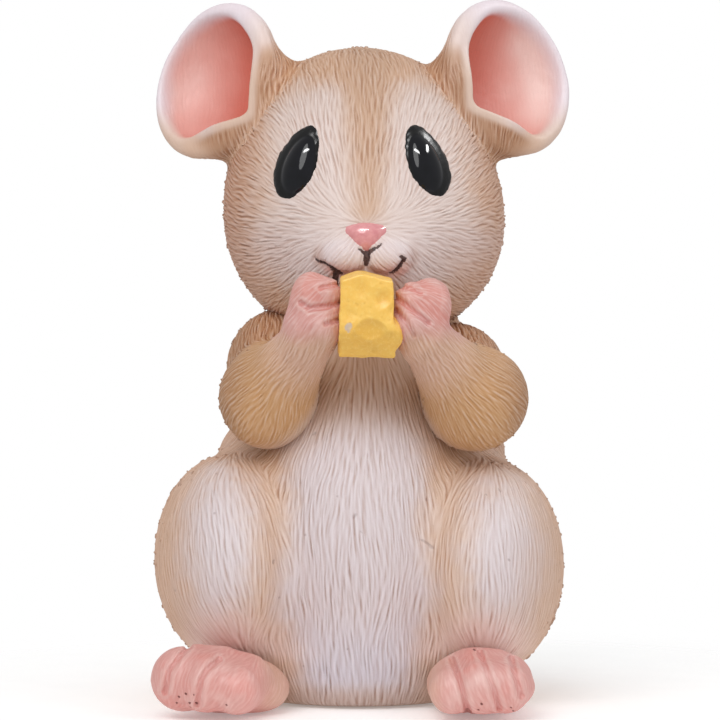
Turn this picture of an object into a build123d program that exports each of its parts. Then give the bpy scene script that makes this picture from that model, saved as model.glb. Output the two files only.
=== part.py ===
"""Mouse figurine, seated, holding a block of cheese: a painted cast-resin ornament.

Millimetres. +Z is up, the mouse faces -Y, and +X is to the mouse's own left.
The shapes are laid out on axes through the neck; the last step of each piece moves
it into the part's frame, whose origin is on the surface the figurine stands on,
under the middle of its box.
"""

import math
import os

from build123d import *

os.makedirs("parts", exist_ok=True)

# ------------------------------------------------------------------ driving dimensions
FRAME_SHIFT = (-0.48, 7.81, 0.0)  # from the layout axes to the part's frame
WALL = 5.0  # casting wall of the hollow body and head
NECK_Z = 86.0  # flat joint between body and head
FELT_R, FELT_T = 24.0, 1.0  # felt pad under the base
DISC_R, DISC_T = 20.0, 3.0  # closure disc let into the underside
POUR_R = 16.5  # opening the hollow body was poured and drained through
DOWEL_R, DOWEL_LOW, DOWEL_HIGH = 6.0, 74.0, 98.0  # neck dowel
GLUE = 0.05  # glue gap round pegs, eyes, nose and dowel
PEG_R, PEG_DEPTH = 3.0, 3.0  # locating pegs cast on limbs, ears and tail
AXIS_X, AXIS_Y = -0.7, 2.0  # vertical axis the body's outlines are taken about
HEAD_X, HEAD_Y = 0.5, 1.0  # the same for the head

# Each form is a list of lumps: (centre, radii, turns about X, Y and Z, blend width),
# or for a round cone (start, end, start radius, end radius, blend width).
BODY = [
    ((0.5, 4.5, 74.0), (25.5, 23.0, 25.0), (0, 0, 0), 0),
    ((-0.8, -7.0, 36.0), (27.0, 30.0, 37.0), (0, 0, 0), 14.0),
    ((-0.7, 10.0, 33.0), (37.0, 31.0, 36.0), (0, 0, 0), 10.0),
    ((-0.7, -0.5, 9.0), (31.0, 29.5, 15.5), (0, 0, 0), 12.0),
    ((-30.0, -12.0, 32.5), (17.0, 28.5, 23.8), (0, 0, 8), 6.0),
    ((29.0, -12.0, 30.8), (17.0, 28.5, 24.3), (0, 0, -8), 6.0),
]
HEAD = [
    ((0.5, 1.2, 118.3), (29.3, 28.3, 31.0), (0, 0, 0), 0),
    ((0.5, -1.2, 107.0), (32.1, 27.3, 26.6), (0, 0, 0), 9.0),
    ((0.9, -20.5, 103.6), (14.5, 13.0, 12.4), (0, 0, 0), 9.0),
    ((-3.3, -30.6, 101.4), (5.9, 4.6, 4.4), (0, 0, 0), 2.6),
    ((5.3, -30.6, 101.4), (5.9, 4.6, 4.4), (0, 0, 0), 2.6),
]
# forearm from the elbow to the paw; the upper arm is one ellipsoid behind it
FOREARM = {
    "right": [
        ((-21.8, -19.5, 69.8), (10.7, 12.0, 11.4), (0, 0, 0), 0),
        ((-21.0, -21.0, 69.5), (-11.0, -37.0, 84.0), 10.0, 5.2, 4.0),
        ((-11.0, -37.0, 84.0), (-9.9, -39.5, 91.5), 5.4, 4.6, 3.0),
    ],
    "left": [
        ((26.2, -19.5, 69.6), (11.6, 12.0, 11.4), (0, 0, 0), 0),
        ((25.0, -21.0, 69.3), (14.0, -37.0, 83.5), 10.6, 5.4, 4.0),
        ((14.0, -37.0, 83.5), (12.4, -39.5, 90.8), 5.6, 5.0, 3.0),
    ],
}
UPPER_ARM = {
    "right": ((-18.5, -3.5, 76.5), (12.5, 14.0, 13.5), (0, 20, 0)),
    "left": ((20.0, -3.5, 74.5), (14.0, 14.5, 13.0), (0, -25, 0)),
}
FINGERS = {
    "right": [
        ((-9.5, -40.5, 93.5), (-5.6, -42.5, 93.8), 2.5, 1.9),
        ((-9.8, -42.0, 89.6), (-5.2, -44.2, 89.2), 2.6, 2.0),
        ((-9.8, -42.0, 85.6), (-5.8, -44.0, 84.6), 2.5, 1.9),
        ((-9.1, -38.7, 95.7), (-6.7, -40.3, 96.9), 2.4, 1.9),
    ],
    "left": [
        ((12.0, -40.5, 93.0), (7.6, -42.5, 93.4), 2.7, 2.0),
        ((12.0, -42.0, 88.8), (8.0, -44.2, 88.0), 2.7, 2.1),
        ((12.0, -42.0, 84.8), (9.0, -43.8, 82.8), 2.5, 2.0),
        ((12.2, -38.5, 95.8), (8.8, -40.0, 96.6), 2.7, 2.1),
    ],
}
FOOT = {
    "right": [
        ((-29.8, -34.5, 6.8), (14.0, 15.5, 8.6), (0, 0, 20), 0),
        ((-34.0, -41.5, 8.5), (10.5, 8.0, 7.2), (0, 0, 30), 3.0),
        ((-33.0, -40.0, 8.4), (-42.5, -45.0, 7.4), 6.0, 5.6, 2.6),
        ((-29.0, -42.0, 8.2), (-36.0, -49.5, 7.0), 5.8, 5.8, 2.6),
        ((-24.0, -42.0, 6.6), (-28.0, -50.5, 6.2), 5.4, 5.4, 2.6),
    ],
    "left": [
        ((26.3, -34.5, 6.8), (12.5, 16.0, 8.8), (0, 0, -8), 0),
        ((27.0, -43.0, 8.6), (10.0, 8.0, 7.4), (0, 0, 0), 3.0),
        ((19.5, -42.0, 5.6), (18.2, -50.0, 5.4), 4.8, 4.5, 2.6),
        ((24.0, -42.0, 8.6), (23.6, -51.2, 7.0), 5.6, 5.6, 2.6),
        ((29.0, -42.0, 8.6), (30.2, -51.2, 6.8), 5.4, 5.4, 2.6),
        ((32.0, -42.0, 7.0), (34.8, -47.5, 6.6), 4.4, 4.4, 2.6),
    ],
}
FOOT_AXIS = {"right": (-32.0, -38.0), "left": (26.4, -38.0)}
FOOT_BOTTOM = 0.4  # the feet clear the table a little, so that the felt carries the weight

# ears: cup centre, turn of the mouth round Z, tilt up, roll, half width, half height, depth, root cone
EARS = {
    "right": ((-34.2, 0.0, 142.3), -32, 12, -15, 14.6, 18.2, 11.5, ((-20.5, 4.5, 140.5), (-27.5, 3.0, 130.5), 8.2, 6.8)),
    "left": ((34.6, 0.0, 142.8), 32, 12, 15, 15.6, 18.3, 11.5, ((21.5, 4.5, 140.5), (28.5, 3.0, 130.5), 7.6, 6.8)),
}
EAR_LIP = 1.8  # the mouth of the cup is this far in front of its middle
EAR_WALL = 2.7

EYE_RADII, EYE_SUNK = (4.9, 8.5, 2.6), 0.6
EYES = {"right": (-14.6, 122.6, 19), "left": (14.9, 122.8, -17)}  # x, z, lean

NOSE = [
    ((0.8, -32.6, 107.2), (4.7, 2.2, 2.1)),
    ((0.8, -32.8, 105.2), (2.2, 1.9, 2.3)),
]
CHEESE_AT, CHEESE_LEAN, CHEESE_TURN = (0.75, -41.8, 89.6), 8, 1.5
CHEESE_SIZE = (12.6, 11.2, 17.8)
# tail: angle round the body's axis, radius of the tail, height of its middle
TAIL = [(84, 5.0, 8.0), (98, 4.8, 7.2), (114, 4.4, 6.6), (130, 3.9, 6.2), (146, 3.4, 6.0), (161, 2.9, 6.0), (175, 2.4, 6.4), (187, 1.8, 7.4)]
TAIL_PROUD = 0.45  # share of its radius by which the tail's middle stands off the body


# ------------------------------------------------------------------ blended forms
def turned(v, turns):
    """v in the axes of something turned about X, then Y, then Z."""
    x, y, z = v
    rx, ry, rz = (math.radians(t) for t in turns)
    x, y = x * math.cos(rz) + y * math.sin(rz), -x * math.sin(rz) + y * math.cos(rz)
    x, z = x * math.cos(ry) - z * math.sin(ry), x * math.sin(ry) + z * math.cos(ry)
    y, z = y * math.cos(rx) + z * math.sin(rx), -y * math.sin(rx) + z * math.cos(rx)
    return x, y, z


def lump_distance(p, lump):
    if isinstance(lump[2], tuple):
        centre, radii, turns = lump[0], lump[1], lump[2]
        x, y, z = turned([p[i] - centre[i] for i in range(3)], turns)
        k0 = math.sqrt((x / radii[0]) ** 2 + (y / radii[1]) ** 2 + (z / radii[2]) ** 2)
        k1 = math.sqrt((x / radii[0] ** 2) ** 2 + (y / radii[1] ** 2) ** 2 + (z / radii[2] ** 2) ** 2)
        return k0 * (k0 - 1) / max(k1, 1e-9)
    a, b, ra, rb = lump[:4]
    ba = [b[i] - a[i] for i in range(3)]
    pa = [p[i] - a[i] for i in range(3)]
    t = min(1.0, max(0.0, sum(pa[i] * ba[i] for i in range(3)) / sum(c * c for c in ba)))
    return math.dist(pa, [t * c for c in ba]) - (ra + (rb - ra) * t)


def distance(p, form):
    """About how far p is outside the blended form; negative inside it."""
    d = None
    for lump in form:
        e = lump_distance(p, lump)
        if d is None:
            d = e
        else:
            width = lump[-1]
            h = max(width - abs(d - e), 0.0) / width
            d = min(d, e) - h * h * width * 0.25
    return d


def edge_from(start, direction, form, reach, shrink=0.0):
    """The point where a line from inside the form leaves it."""
    lo, hi = 0.0, 0.0
    while hi < reach and distance([start[i] + hi * direction[i] for i in range(3)], form) + shrink <= 0:
        lo, hi = hi, hi + 1.0
    for _ in range(30):
        m = (lo + hi) / 2
        if distance([start[i] + m * direction[i] for i in range(3)], form) + shrink > 0:
            hi = m
        else:
            lo = m
    return [start[i] + lo * direction[i] for i in range(3)]


def outline(plane, form, count, shrink=0.0):
    """The form's closed outline on a plane, about the plane's origin, as points of that plane."""
    points = []
    for i in range(count):
        a = 2 * math.pi * i / count
        ray = plane.x_dir * math.cos(a) + plane.y_dir * math.sin(a)
        end = edge_from(tuple(plane.origin), tuple(ray), form, 60.0, shrink)
        r = math.dist(end, tuple(plane.origin))
        points.append((r * math.cos(a), r * math.sin(a)))
    return points


def square_to(origin, normal):
    """A plane square to the normal, its X axis kept as near +X as it can be."""
    n = Vector(*normal).normalized()
    x = Vector(1, 0, 0)
    return Plane(origin=origin, x_dir=x - n * n.dot(x), z_dir=n)


def surface_plane(x, z, form, lean=0.0):
    """A plane on the front of the form: its normal points out and its Y axis up, leaned over."""
    y = edge_from((x, 0.0, z), (0, -1, 0), form, 50.0)[1]
    e = 0.3
    n = Vector(
        distance((x + e, y, z), form) - distance((x - e, y, z), form),
        distance((x, y + e, z), form) - distance((x, y - e, z), form),
        distance((x, y, z + e), form) - distance((x, y, z - e), form),
    ).normalized()
    across = Vector(0, 0, 1).cross(n).normalized()
    up = n.cross(across).normalized()
    t = math.radians(lean)
    return Plane(origin=(x, y, z), x_dir=across * math.cos(t) - up * math.sin(t), z_dir=n)


# ------------------------------------------------------------------ shared forms
def lofted(planes, form, count, shrinks=None, shrink=0.0):
    """A solid through the form's outlines on the planes."""
    with BuildPart() as solid:
        for i, plane in enumerate(planes):
            by = shrinks[i] if shrinks else shrink
            with BuildSketch(plane):
                with BuildLine():
                    Spline(*outline(plane, form, count, by), periodic=True)
                make_face()
        loft()
    return solid.part


BODY_HEIGHTS = [1.0, 2.0, 4.0, 8.0, 13.0, 20.0, 28.0, 36.0, 44.0, 51.0, 56.0, 61.0, 67.0, 74.0, 80.0, NECK_Z]
BODY_HOLLOW_HEIGHTS = [6.5, 9.0, 13.0, 20.0, 28.0, 36.0, 44.0, 51.0, 57.0, 63.0, 70.0, 76.0, NECK_Z - WALL]
HEAD_HEIGHTS = [NECK_Z, 88.5, 91.5, 95.0, 98.0, 101.0, 104.0, 107.5, 112.0, 117.0, 123.0, 129.0, 134.5, 139.5, 143.5, 146.6, 148.2, 149.0]
HEAD_HOLLOW_HEIGHTS = [NECK_Z + WALL, 94.0, 98.0, 103.0, 109.0, 116.0, 123.0, 129.0, 134.5, 139.0, 142.0, 143.6]

body_form = lofted([Plane((AXIS_X, AXIS_Y, z)) for z in BODY_HEIGHTS], BODY, 44, [1.1, 0.35] + [0.0] * 14)
body_hollow = lofted([Plane((AXIS_X, AXIS_Y, z)) for z in BODY_HOLLOW_HEIGHTS], BODY, 32, shrink=WALL)
head_form = lofted([Plane((HEAD_X, HEAD_Y, z)) for z in HEAD_HEIGHTS], HEAD, 56)
head_hollow = lofted([Plane((HEAD_X, HEAD_Y, z)) for z in HEAD_HOLLOW_HEIGHTS], HEAD, 32, shrink=WALL)


def ellipsoid(radii, plane):
    """An ellipsoid whose axes lie along the plane's axes."""
    with BuildPart() as form:
        Sphere(1.0)
        scale(by=radii)
    return plane.location * form.part


def round_cone(start, end, r0, r1):
    """A cone with a ball at each end."""
    run = math.dist(start, end)
    with BuildPart() as form:
        with BuildSketch(Plane.XZ):
            with BuildLine():
                ThreePointArc((0, -r0), (r0 * math.sqrt(0.5), -r0 * math.sqrt(0.5)), (r0, 0))
                Line((r0, 0), (r1, run))
                ThreePointArc((r1, run), (r1 * math.sqrt(0.5), run + r1 * math.sqrt(0.5)), (0, run + r1))
                Line((0, run + r1), (0, -r0))
            make_face()
        revolve(axis=Axis.Z)
    return square_to(start, [end[i] - start[i] for i in range(3)]).location * form.part


def grown(radii, by):
    return tuple(r + by for r in radii)


def peg_plane(inside, towards, form):
    """Where a peg crosses the form's skin, its normal pointing out of the form."""
    d = Vector(*[towards[i] - inside[i] for i in range(3)]).normalized()
    return square_to(edge_from(inside, tuple(d), form, 60.0), tuple(d))


def peg(plane, radius, depth, out):
    """A round peg from depth below the skin to out above it."""
    with BuildPart(plane.offset(-depth)) as form:
        Cylinder(radius, depth + out, align=(Align.CENTER, Align.CENTER, Align.MIN))
    return form.part


# ------------------------------------------------------------------ eyes, nose and cheese
eye_planes = {side: surface_plane(x, z, HEAD, lean).offset(-EYE_SUNK) for side, (x, z, lean) in EYES.items()}
eye_solids = {side: ellipsoid(EYE_RADII, plane) for side, plane in eye_planes.items()}
eye_sockets = {side: ellipsoid(grown(EYE_RADII, GLUE), plane) for side, plane in eye_planes.items()}
nose_lumps = [ellipsoid(radii, Plane(origin=centre)) for centre, radii in NOSE]
nose_sockets = [ellipsoid(grown(radii, GLUE), Plane(origin=centre)) for centre, radii in NOSE]

with BuildPart() as eye_right:
    add(eye_solids["right"])

with BuildPart() as eye_left:
    add(eye_solids["left"])

with BuildPart() as nose:
    add(nose_lumps)

cheese_plane = Plane(Location(CHEESE_AT, (CHEESE_LEAN, 0, CHEESE_TURN)))
with BuildPart(cheese_plane) as cheese_block:
    Box(*CHEESE_SIZE)

with BuildPart(cheese_plane) as cheese:
    Box(*CHEESE_SIZE)
    # the lower front is cut back to a slanting facet
    with Locations(Location((0, -CHEESE_SIZE[1] / 2 - 2.6, -CHEESE_SIZE[2] / 2 - 1.2), (36, 0, 0))):
        Box(30, 8, 12, mode=Mode.SUBTRACT)
    fillet(cheese.edges(), radius=0.7)
    # round holes, cut where they break the faces
    with Locations((-2.4, -6.6, 5.0), (3.3, -6.5, 1.6), (-1.5, 1.0, 10.0), (3.2, -1.5, 9.9)):
        Sphere(1.9, mode=Mode.SUBTRACT)
    with Locations(Location((7.5, 1.2, 3.4), (0, 90, 0)), Location((-7.5, -1.1, -3.9), (0, 90, 0))):
        Sphere(2.0, mode=Mode.SUBTRACT)

# ------------------------------------------------------------------ dowel, closure disc and felt
with BuildPart(Plane.XY.offset(DOWEL_LOW)) as neck_dowel:
    Cylinder(DOWEL_R, DOWEL_HIGH - DOWEL_LOW, align=(Align.CENTER, Align.CENTER, Align.MIN))
    chamfer(neck_dowel.edges().filter_by(GeomType.CIRCLE), length=0.8)

with BuildPart(Plane((AXIS_X, AXIS_Y, FELT_T))) as base_disc:
    Cylinder(DISC_R - GLUE, DISC_T, align=(Align.CENTER, Align.CENTER, Align.MIN))
    chamfer(base_disc.faces().sort_by(Axis.Z)[-1].edges(), length=0.4)

with BuildPart(Plane((AXIS_X, AXIS_Y, 0))) as base_felt:
    Cylinder(FELT_R, FELT_T, align=(Align.CENTER, Align.CENTER, Align.MIN))

# ------------------------------------------------------------------ arms
ARM_PEG = {"right": (-26.0, -4.0, 77.0), "left": (27.0, -4.0, 75.0)}


def arm_planes(side):
    """Planes down the forearm: along the elbow, round the wrist and up the paw."""
    elbow = Vector(*FOREARM[side][0][0])
    wrist = Vector(*FOREARM[side][2][0])
    palm = Vector(*FOREARM[side][2][1])
    first, second = (wrist - elbow).normalized(), (palm - wrist).normalized()
    run, rise = (wrist - elbow).length, (palm - wrist).length
    reach = FOREARM[side][0][1][1] - 0.9
    steps = [-reach, -reach + 1.4, -reach + 4.0, -2.5, 2.0, 6.5, 11.0, 15.5, run - 4.5]
    planes = [square_to(elbow + first * t, tuple(first)) for t in steps]
    planes.append(square_to(wrist, tuple(first + second)))
    top = rise + FOREARM[side][2][3]
    planes += [square_to(wrist + second * t, tuple(second)) for t in (rise * 0.55, rise, top - 2.2, top - 0.7)]
    return planes


arm_lumps, finger_cones, arm_pegs = {}, {}, {}
for side in ("right", "left"):
    centre, radii, turns = UPPER_ARM[side]
    upper = ellipsoid(radii, Plane(Location(centre, turns)))
    arm_lumps[side] = [lofted(arm_planes(side), FOREARM[side], 28), upper]
    finger_cones[side] = [round_cone(*f) for f in FINGERS[side]]
    arm_pegs[side] = peg_plane((0.5, 4.5, 76.0), ARM_PEG[side], BODY)

with BuildPart() as arm_right:
    add(arm_lumps["right"])
    add(finger_cones["right"])
    add([body_form, head_form, cheese_block.part], mode=Mode.SUBTRACT)
    add(peg(arm_pegs["right"], PEG_R, PEG_DEPTH, 2.5))

with BuildPart() as arm_left:
    add(arm_lumps["left"])
    add(finger_cones["left"])
    add([body_form, head_form, cheese_block.part], mode=Mode.SUBTRACT)
    add(peg(arm_pegs["left"], PEG_R, PEG_DEPTH, 2.5))


# ------------------------------------------------------------------ feet
FOOT_HEIGHTS = [FOOT_BOTTOM, 1.6, 3.4, 5.8, 8.0, 10.2, 12.2, 13.8, 14.8]
FOOT_PEG = {"right": ((-27.5, -15.0, 12.6), (-30.3, -29.0, 10.4)), "left": ((20.0, -12.0, 9.5), (25.0, -32.0, 8.3))}
foot_solids, toes, foot_pegs = {}, {}, {}
for side in ("right", "left"):
    instep, toe_cones = FOOT[side][:2], FOOT[side][2:]
    foot_solids[side] = lofted([Plane((*FOOT_AXIS[side], z)) for z in FOOT_HEIGHTS], instep, 32)
    toes[side] = [round_cone(*cone[:4]) for cone in toe_cones]
    foot_pegs[side] = peg_plane(*FOOT_PEG[side], BODY)

with BuildPart(Plane.XY.offset(FOOT_BOTTOM)) as under_feet:
    Box(200, 200, 20, align=(Align.CENTER, Align.CENTER, Align.MAX))

with BuildPart() as foot_right:
    add(foot_solids["right"])
    add(toes["right"])
    add([body_form, under_feet.part], mode=Mode.SUBTRACT)
    add(peg(foot_pegs["right"], PEG_R, PEG_DEPTH, 2.5))

with BuildPart() as foot_left:
    add(foot_solids["left"])
    add(toes["left"])
    add([body_form, under_feet.part], mode=Mode.SUBTRACT)
    add(peg(foot_pegs["left"], PEG_R, PEG_DEPTH, 2.5))

# ------------------------------------------------------------------ tail
tail_points = []
for angle, radius, height in TAIL:
    a = math.radians(angle)
    out = edge_from((AXIS_X, AXIS_Y, height), (math.cos(a), math.sin(a), 0), BODY, 60.0)
    off = radius * TAIL_PROUD
    tail_points.append((out[0] + off * math.cos(a), out[1] + off * math.sin(a), height))
tail_root = (tail_points[0][0] + 4.0, tail_points[0][1] - 7.5, tail_points[0][2] + 1.2)
with BuildPart() as tail_line:
    with BuildLine():
        tail_path = Spline(tail_root, *tail_points)
with BuildPart() as tail_solid:
    steps = 13
    for i in range(steps):
        t = i / (steps - 1)
        at = tail_path @ t
        r = 5.1 * (1 - t) ** 0.75 + 1.7 * t ** 1.2
        with BuildSketch(Plane(origin=at, z_dir=tail_path % t)):
            Circle(r)
    loft()
tail_peg = peg_plane((AXIS_X, AXIS_Y + 8.0, 9.5), (tail_points[1][0], tail_points[1][1], tail_points[1][2]), BODY)

with BuildPart() as tail:
    add(tail_solid.part)
    add(body_form, mode=Mode.SUBTRACT)
    add(peg(tail_peg, PEG_R, PEG_DEPTH, 2.0))

# ------------------------------------------------------------------ ears
def ear_plane(side):
    """The plane of the ear's mouth, its normal facing forward and its Y axis up the ear."""
    centre, turn, tilt, roll = EARS[side][:4]
    az, el, ro = (math.radians(v) for v in (turn, tilt, roll))
    n = Vector(math.sin(az) * math.cos(el), -math.cos(az) * math.cos(el), math.sin(el))
    across = Vector(0, 0, 1).cross(n).normalized()
    up = n.cross(across).normalized()
    return Plane(origin=centre, x_dir=across * math.cos(ro) + up * math.sin(ro), z_dir=n)


def bowl(plane, half_width, half_height, depth, centre, heights):
    """Half an ellipsoid, lofted through ellipses square to the plane's normal."""
    with BuildPart() as form:
        for h in heights:
            k = math.sqrt(max(1 - ((h - centre[1]) / depth) ** 2, 0.0))
            with BuildSketch(plane.offset(h)):
                with Locations((0, centre[0])):
                    Ellipse(half_width * k, half_height * k)
        loft()
    return form.part


ear_outers, ear_inners, ear_roots, ear_pegs = {}, {}, {}, {}
for side in ("right", "left"):
    plane = ear_plane(side)
    _, _, _, _, wide, high, deep, root = EARS[side]
    ear_outers[side] = bowl(plane, wide, high, deep, (0.0, 0.0), [-deep + 0.35, -deep + 1.3, -deep + 3.0, -deep + 5.2, -deep + 8.0, -0.5, EAR_LIP])
    low = EAR_LIP + 0.2 - (deep - 1.8)
    ear_inners[side] = bowl(plane, wide - EAR_WALL, high - EAR_WALL, deep - 1.8, (0.3, EAR_LIP + 0.2), [low + 0.3, low + 1.2, low + 2.8, low + 4.8, low + 7.2, EAR_LIP + 0.2])
    ear_roots[side] = round_cone(*root)
    middle = [(root[0][i] + root[1][i]) / 2 for i in range(3)]
    ear_pegs[side] = peg_plane((0.5, 1.2, 118.0), middle, HEAD)

with BuildPart() as ear_right:
    add(ear_outers["right"])
    add(ear_roots["right"])
    add([head_form, ear_inners["right"]], mode=Mode.SUBTRACT)
    add(peg(ear_pegs["right"], PEG_R, PEG_DEPTH, 2.5))

with BuildPart() as ear_left:
    add(ear_outers["left"])
    add(ear_roots["left"])
    add([head_form, ear_inners["left"]], mode=Mode.SUBTRACT)
    add(peg(ear_pegs["left"], PEG_R, PEG_DEPTH, 2.5))

# ------------------------------------------------------------------ hollow body and head castings
with BuildPart() as torso_shell:
    add(body_form)
    add(body_hollow, mode=Mode.SUBTRACT)
    with Locations((AXIS_X, AXIS_Y, 0)):
        Cylinder(POUR_R, 10.0, align=(Align.CENTER, Align.CENTER, Align.MIN), mode=Mode.SUBTRACT)
        Cylinder(DISC_R, FELT_T + DISC_T, align=(Align.CENTER, Align.CENTER, Align.MIN), mode=Mode.SUBTRACT)
    with Locations((0, 0, NECK_Z - 2 * WALL)):
        Cylinder(DOWEL_R + GLUE, 3 * WALL, align=(Align.CENTER, Align.CENTER, Align.MIN), mode=Mode.SUBTRACT)
    for plane in (arm_pegs["right"], arm_pegs["left"], foot_pegs["right"], foot_pegs["left"], tail_peg):
        add(peg(plane, PEG_R + GLUE, PEG_DEPTH + 0.2, 2.5), mode=Mode.SUBTRACT)

with BuildPart() as head_shell:
    add(head_form)
    add(head_hollow, mode=Mode.SUBTRACT)
    with Locations((0, 0, NECK_Z - WALL)):
        Cylinder(DOWEL_R + GLUE, 3 * WALL, align=(Align.CENTER, Align.CENTER, Align.MIN), mode=Mode.SUBTRACT)
    add([eye_sockets["right"], eye_sockets["left"], *nose_sockets], mode=Mode.SUBTRACT)
    for plane in (ear_pegs["right"], ear_pegs["left"]):
        add(peg(plane, PEG_R + GLUE, PEG_DEPTH + 0.2, 2.5), mode=Mode.SUBTRACT)

# ------------------------------------------------------------------ pieces, moved into the part's frame
torso_shell.part.position = FRAME_SHIFT
torso_shell.part.label = "torso_shell"
export_step(torso_shell.part, "parts/torso_shell.step")

head_shell.part.position = FRAME_SHIFT
head_shell.part.label = "head_shell"
export_step(head_shell.part, "parts/head_shell.step")

ear_right.part.position = FRAME_SHIFT
ear_right.part.label = "ear_right"
export_step(ear_right.part, "parts/ear_right.step")

ear_left.part.position = FRAME_SHIFT
ear_left.part.label = "ear_left"
export_step(ear_left.part, "parts/ear_left.step")

arm_right.part.position = FRAME_SHIFT
arm_right.part.label = "arm_right"
export_step(arm_right.part, "parts/arm_right.step")

arm_left.part.position = FRAME_SHIFT
arm_left.part.label = "arm_left"
export_step(arm_left.part, "parts/arm_left.step")

foot_right.part.position = FRAME_SHIFT
foot_right.part.label = "foot_right"
export_step(foot_right.part, "parts/foot_right.step")

foot_left.part.position = FRAME_SHIFT
foot_left.part.label = "foot_left"
export_step(foot_left.part, "parts/foot_left.step")

tail.part.position = FRAME_SHIFT
tail.part.label = "tail"
export_step(tail.part, "parts/tail.step")

cheese.part.position = FRAME_SHIFT
cheese.part.label = "cheese"
export_step(cheese.part, "parts/cheese.step")

eye_right.part.position = FRAME_SHIFT
eye_right.part.label = "eye_right"
export_step(eye_right.part, "parts/eye_right.step")

eye_left.part.position = FRAME_SHIFT
eye_left.part.label = "eye_left"
export_step(eye_left.part, "parts/eye_left.step")

nose.part.position = FRAME_SHIFT
nose.part.label = "nose"
export_step(nose.part, "parts/nose.step")

neck_dowel.part.position = FRAME_SHIFT
neck_dowel.part.label = "neck_dowel"
export_step(neck_dowel.part, "parts/neck_dowel.step")

base_disc.part.position = FRAME_SHIFT
base_disc.part.label = "base_disc"
export_step(base_disc.part, "parts/base_disc.step")

base_felt.part.position = FRAME_SHIFT
base_felt.part.label = "base_felt"
export_step(base_felt.part, "parts/base_felt.step")
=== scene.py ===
import math
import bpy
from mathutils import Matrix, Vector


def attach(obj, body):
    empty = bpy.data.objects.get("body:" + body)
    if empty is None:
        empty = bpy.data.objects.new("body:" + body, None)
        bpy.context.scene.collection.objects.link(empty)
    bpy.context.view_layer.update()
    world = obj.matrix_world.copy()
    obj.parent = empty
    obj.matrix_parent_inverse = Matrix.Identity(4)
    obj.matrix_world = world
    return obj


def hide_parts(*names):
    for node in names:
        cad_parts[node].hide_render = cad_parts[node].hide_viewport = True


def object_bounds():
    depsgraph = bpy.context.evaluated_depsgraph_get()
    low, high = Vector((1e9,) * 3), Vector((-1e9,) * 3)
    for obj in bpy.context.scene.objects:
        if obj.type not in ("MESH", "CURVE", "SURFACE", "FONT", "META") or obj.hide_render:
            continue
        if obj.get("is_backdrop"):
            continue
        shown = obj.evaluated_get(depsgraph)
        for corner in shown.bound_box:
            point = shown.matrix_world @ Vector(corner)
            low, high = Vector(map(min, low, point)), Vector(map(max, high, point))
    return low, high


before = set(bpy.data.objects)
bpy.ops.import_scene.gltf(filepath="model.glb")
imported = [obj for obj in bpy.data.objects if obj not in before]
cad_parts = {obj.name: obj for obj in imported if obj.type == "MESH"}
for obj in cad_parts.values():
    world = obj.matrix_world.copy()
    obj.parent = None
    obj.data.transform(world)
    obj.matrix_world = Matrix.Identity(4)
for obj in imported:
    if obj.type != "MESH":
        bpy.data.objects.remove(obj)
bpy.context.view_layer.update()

from concurrent.futures import ThreadPoolExecutor

import bpy
import numpy as np
from mathutils import Vector

# A cast, hand-painted mouse that holds a piece of cheese. All shapes are laid out in millimetres on
# axes through the neck; SHIFT moves them into the part's frame.
F = np.float32
SHIFT = np.array([-0.48, 7.81, 0.0], F)
MM = 0.001


# ---------------------------------------------------------------- small maths
def V(*a):
    return np.array(a, dtype=F)


def S(a, b, x):
    """Smooth step from 0 at a to 1 at b; a may be the larger."""
    t = np.clip((x - a) / (b - a), 0, 1)
    return t * t * (3 - 2 * t)


POOL = ThreadPoolExecutor(4)


def par(f, P):
    """f over the points P, in a few threads."""
    k = max(1, min(24, len(P) // 16000))
    return np.concatenate(list(POOL.map(f, np.array_split(P, k)))) if k > 1 else f(P)


def dot(a, b):
    return (a * b).sum(1)


def unit(a):
    return a / np.maximum(np.sqrt((a * a).sum(1, keepdims=True)), 1e-6)


def rotm(rx=0, ry=0, rz=0):
    rx, ry, rz = [math.radians(v) for v in (rx, ry, rz)]
    X = np.array([[1, 0, 0], [0, math.cos(rx), -math.sin(rx)], [0, math.sin(rx), math.cos(rx)]])
    Y = np.array([[math.cos(ry), 0, math.sin(ry)], [0, 1, 0], [-math.sin(ry), 0, math.cos(ry)]])
    Z = np.array([[math.cos(rz), -math.sin(rz), 0], [math.sin(rz), math.cos(rz), 0], [0, 0, 1]])
    return (Z @ Y @ X).astype(F)


def rgb(r, g, b):
    """Screen colour to linear light."""
    c = np.array([r, g, b], float) / 255
    return np.where(c <= 0.04045, c / 12.92, ((c + 0.055) / 1.055) ** 2.4).astype(F)


def mix(a, b, w):
    w = np.asarray(w, F)
    w = w[:, None] if w.ndim == 1 else w
    return a * (1 - w) + b * w


_rng = np.random.default_rng(20)
TABLE = [_rng.random((64, 64, 64), dtype=F) for _ in range(4)]
SPIN = rotm(31, 17, 43)


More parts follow.
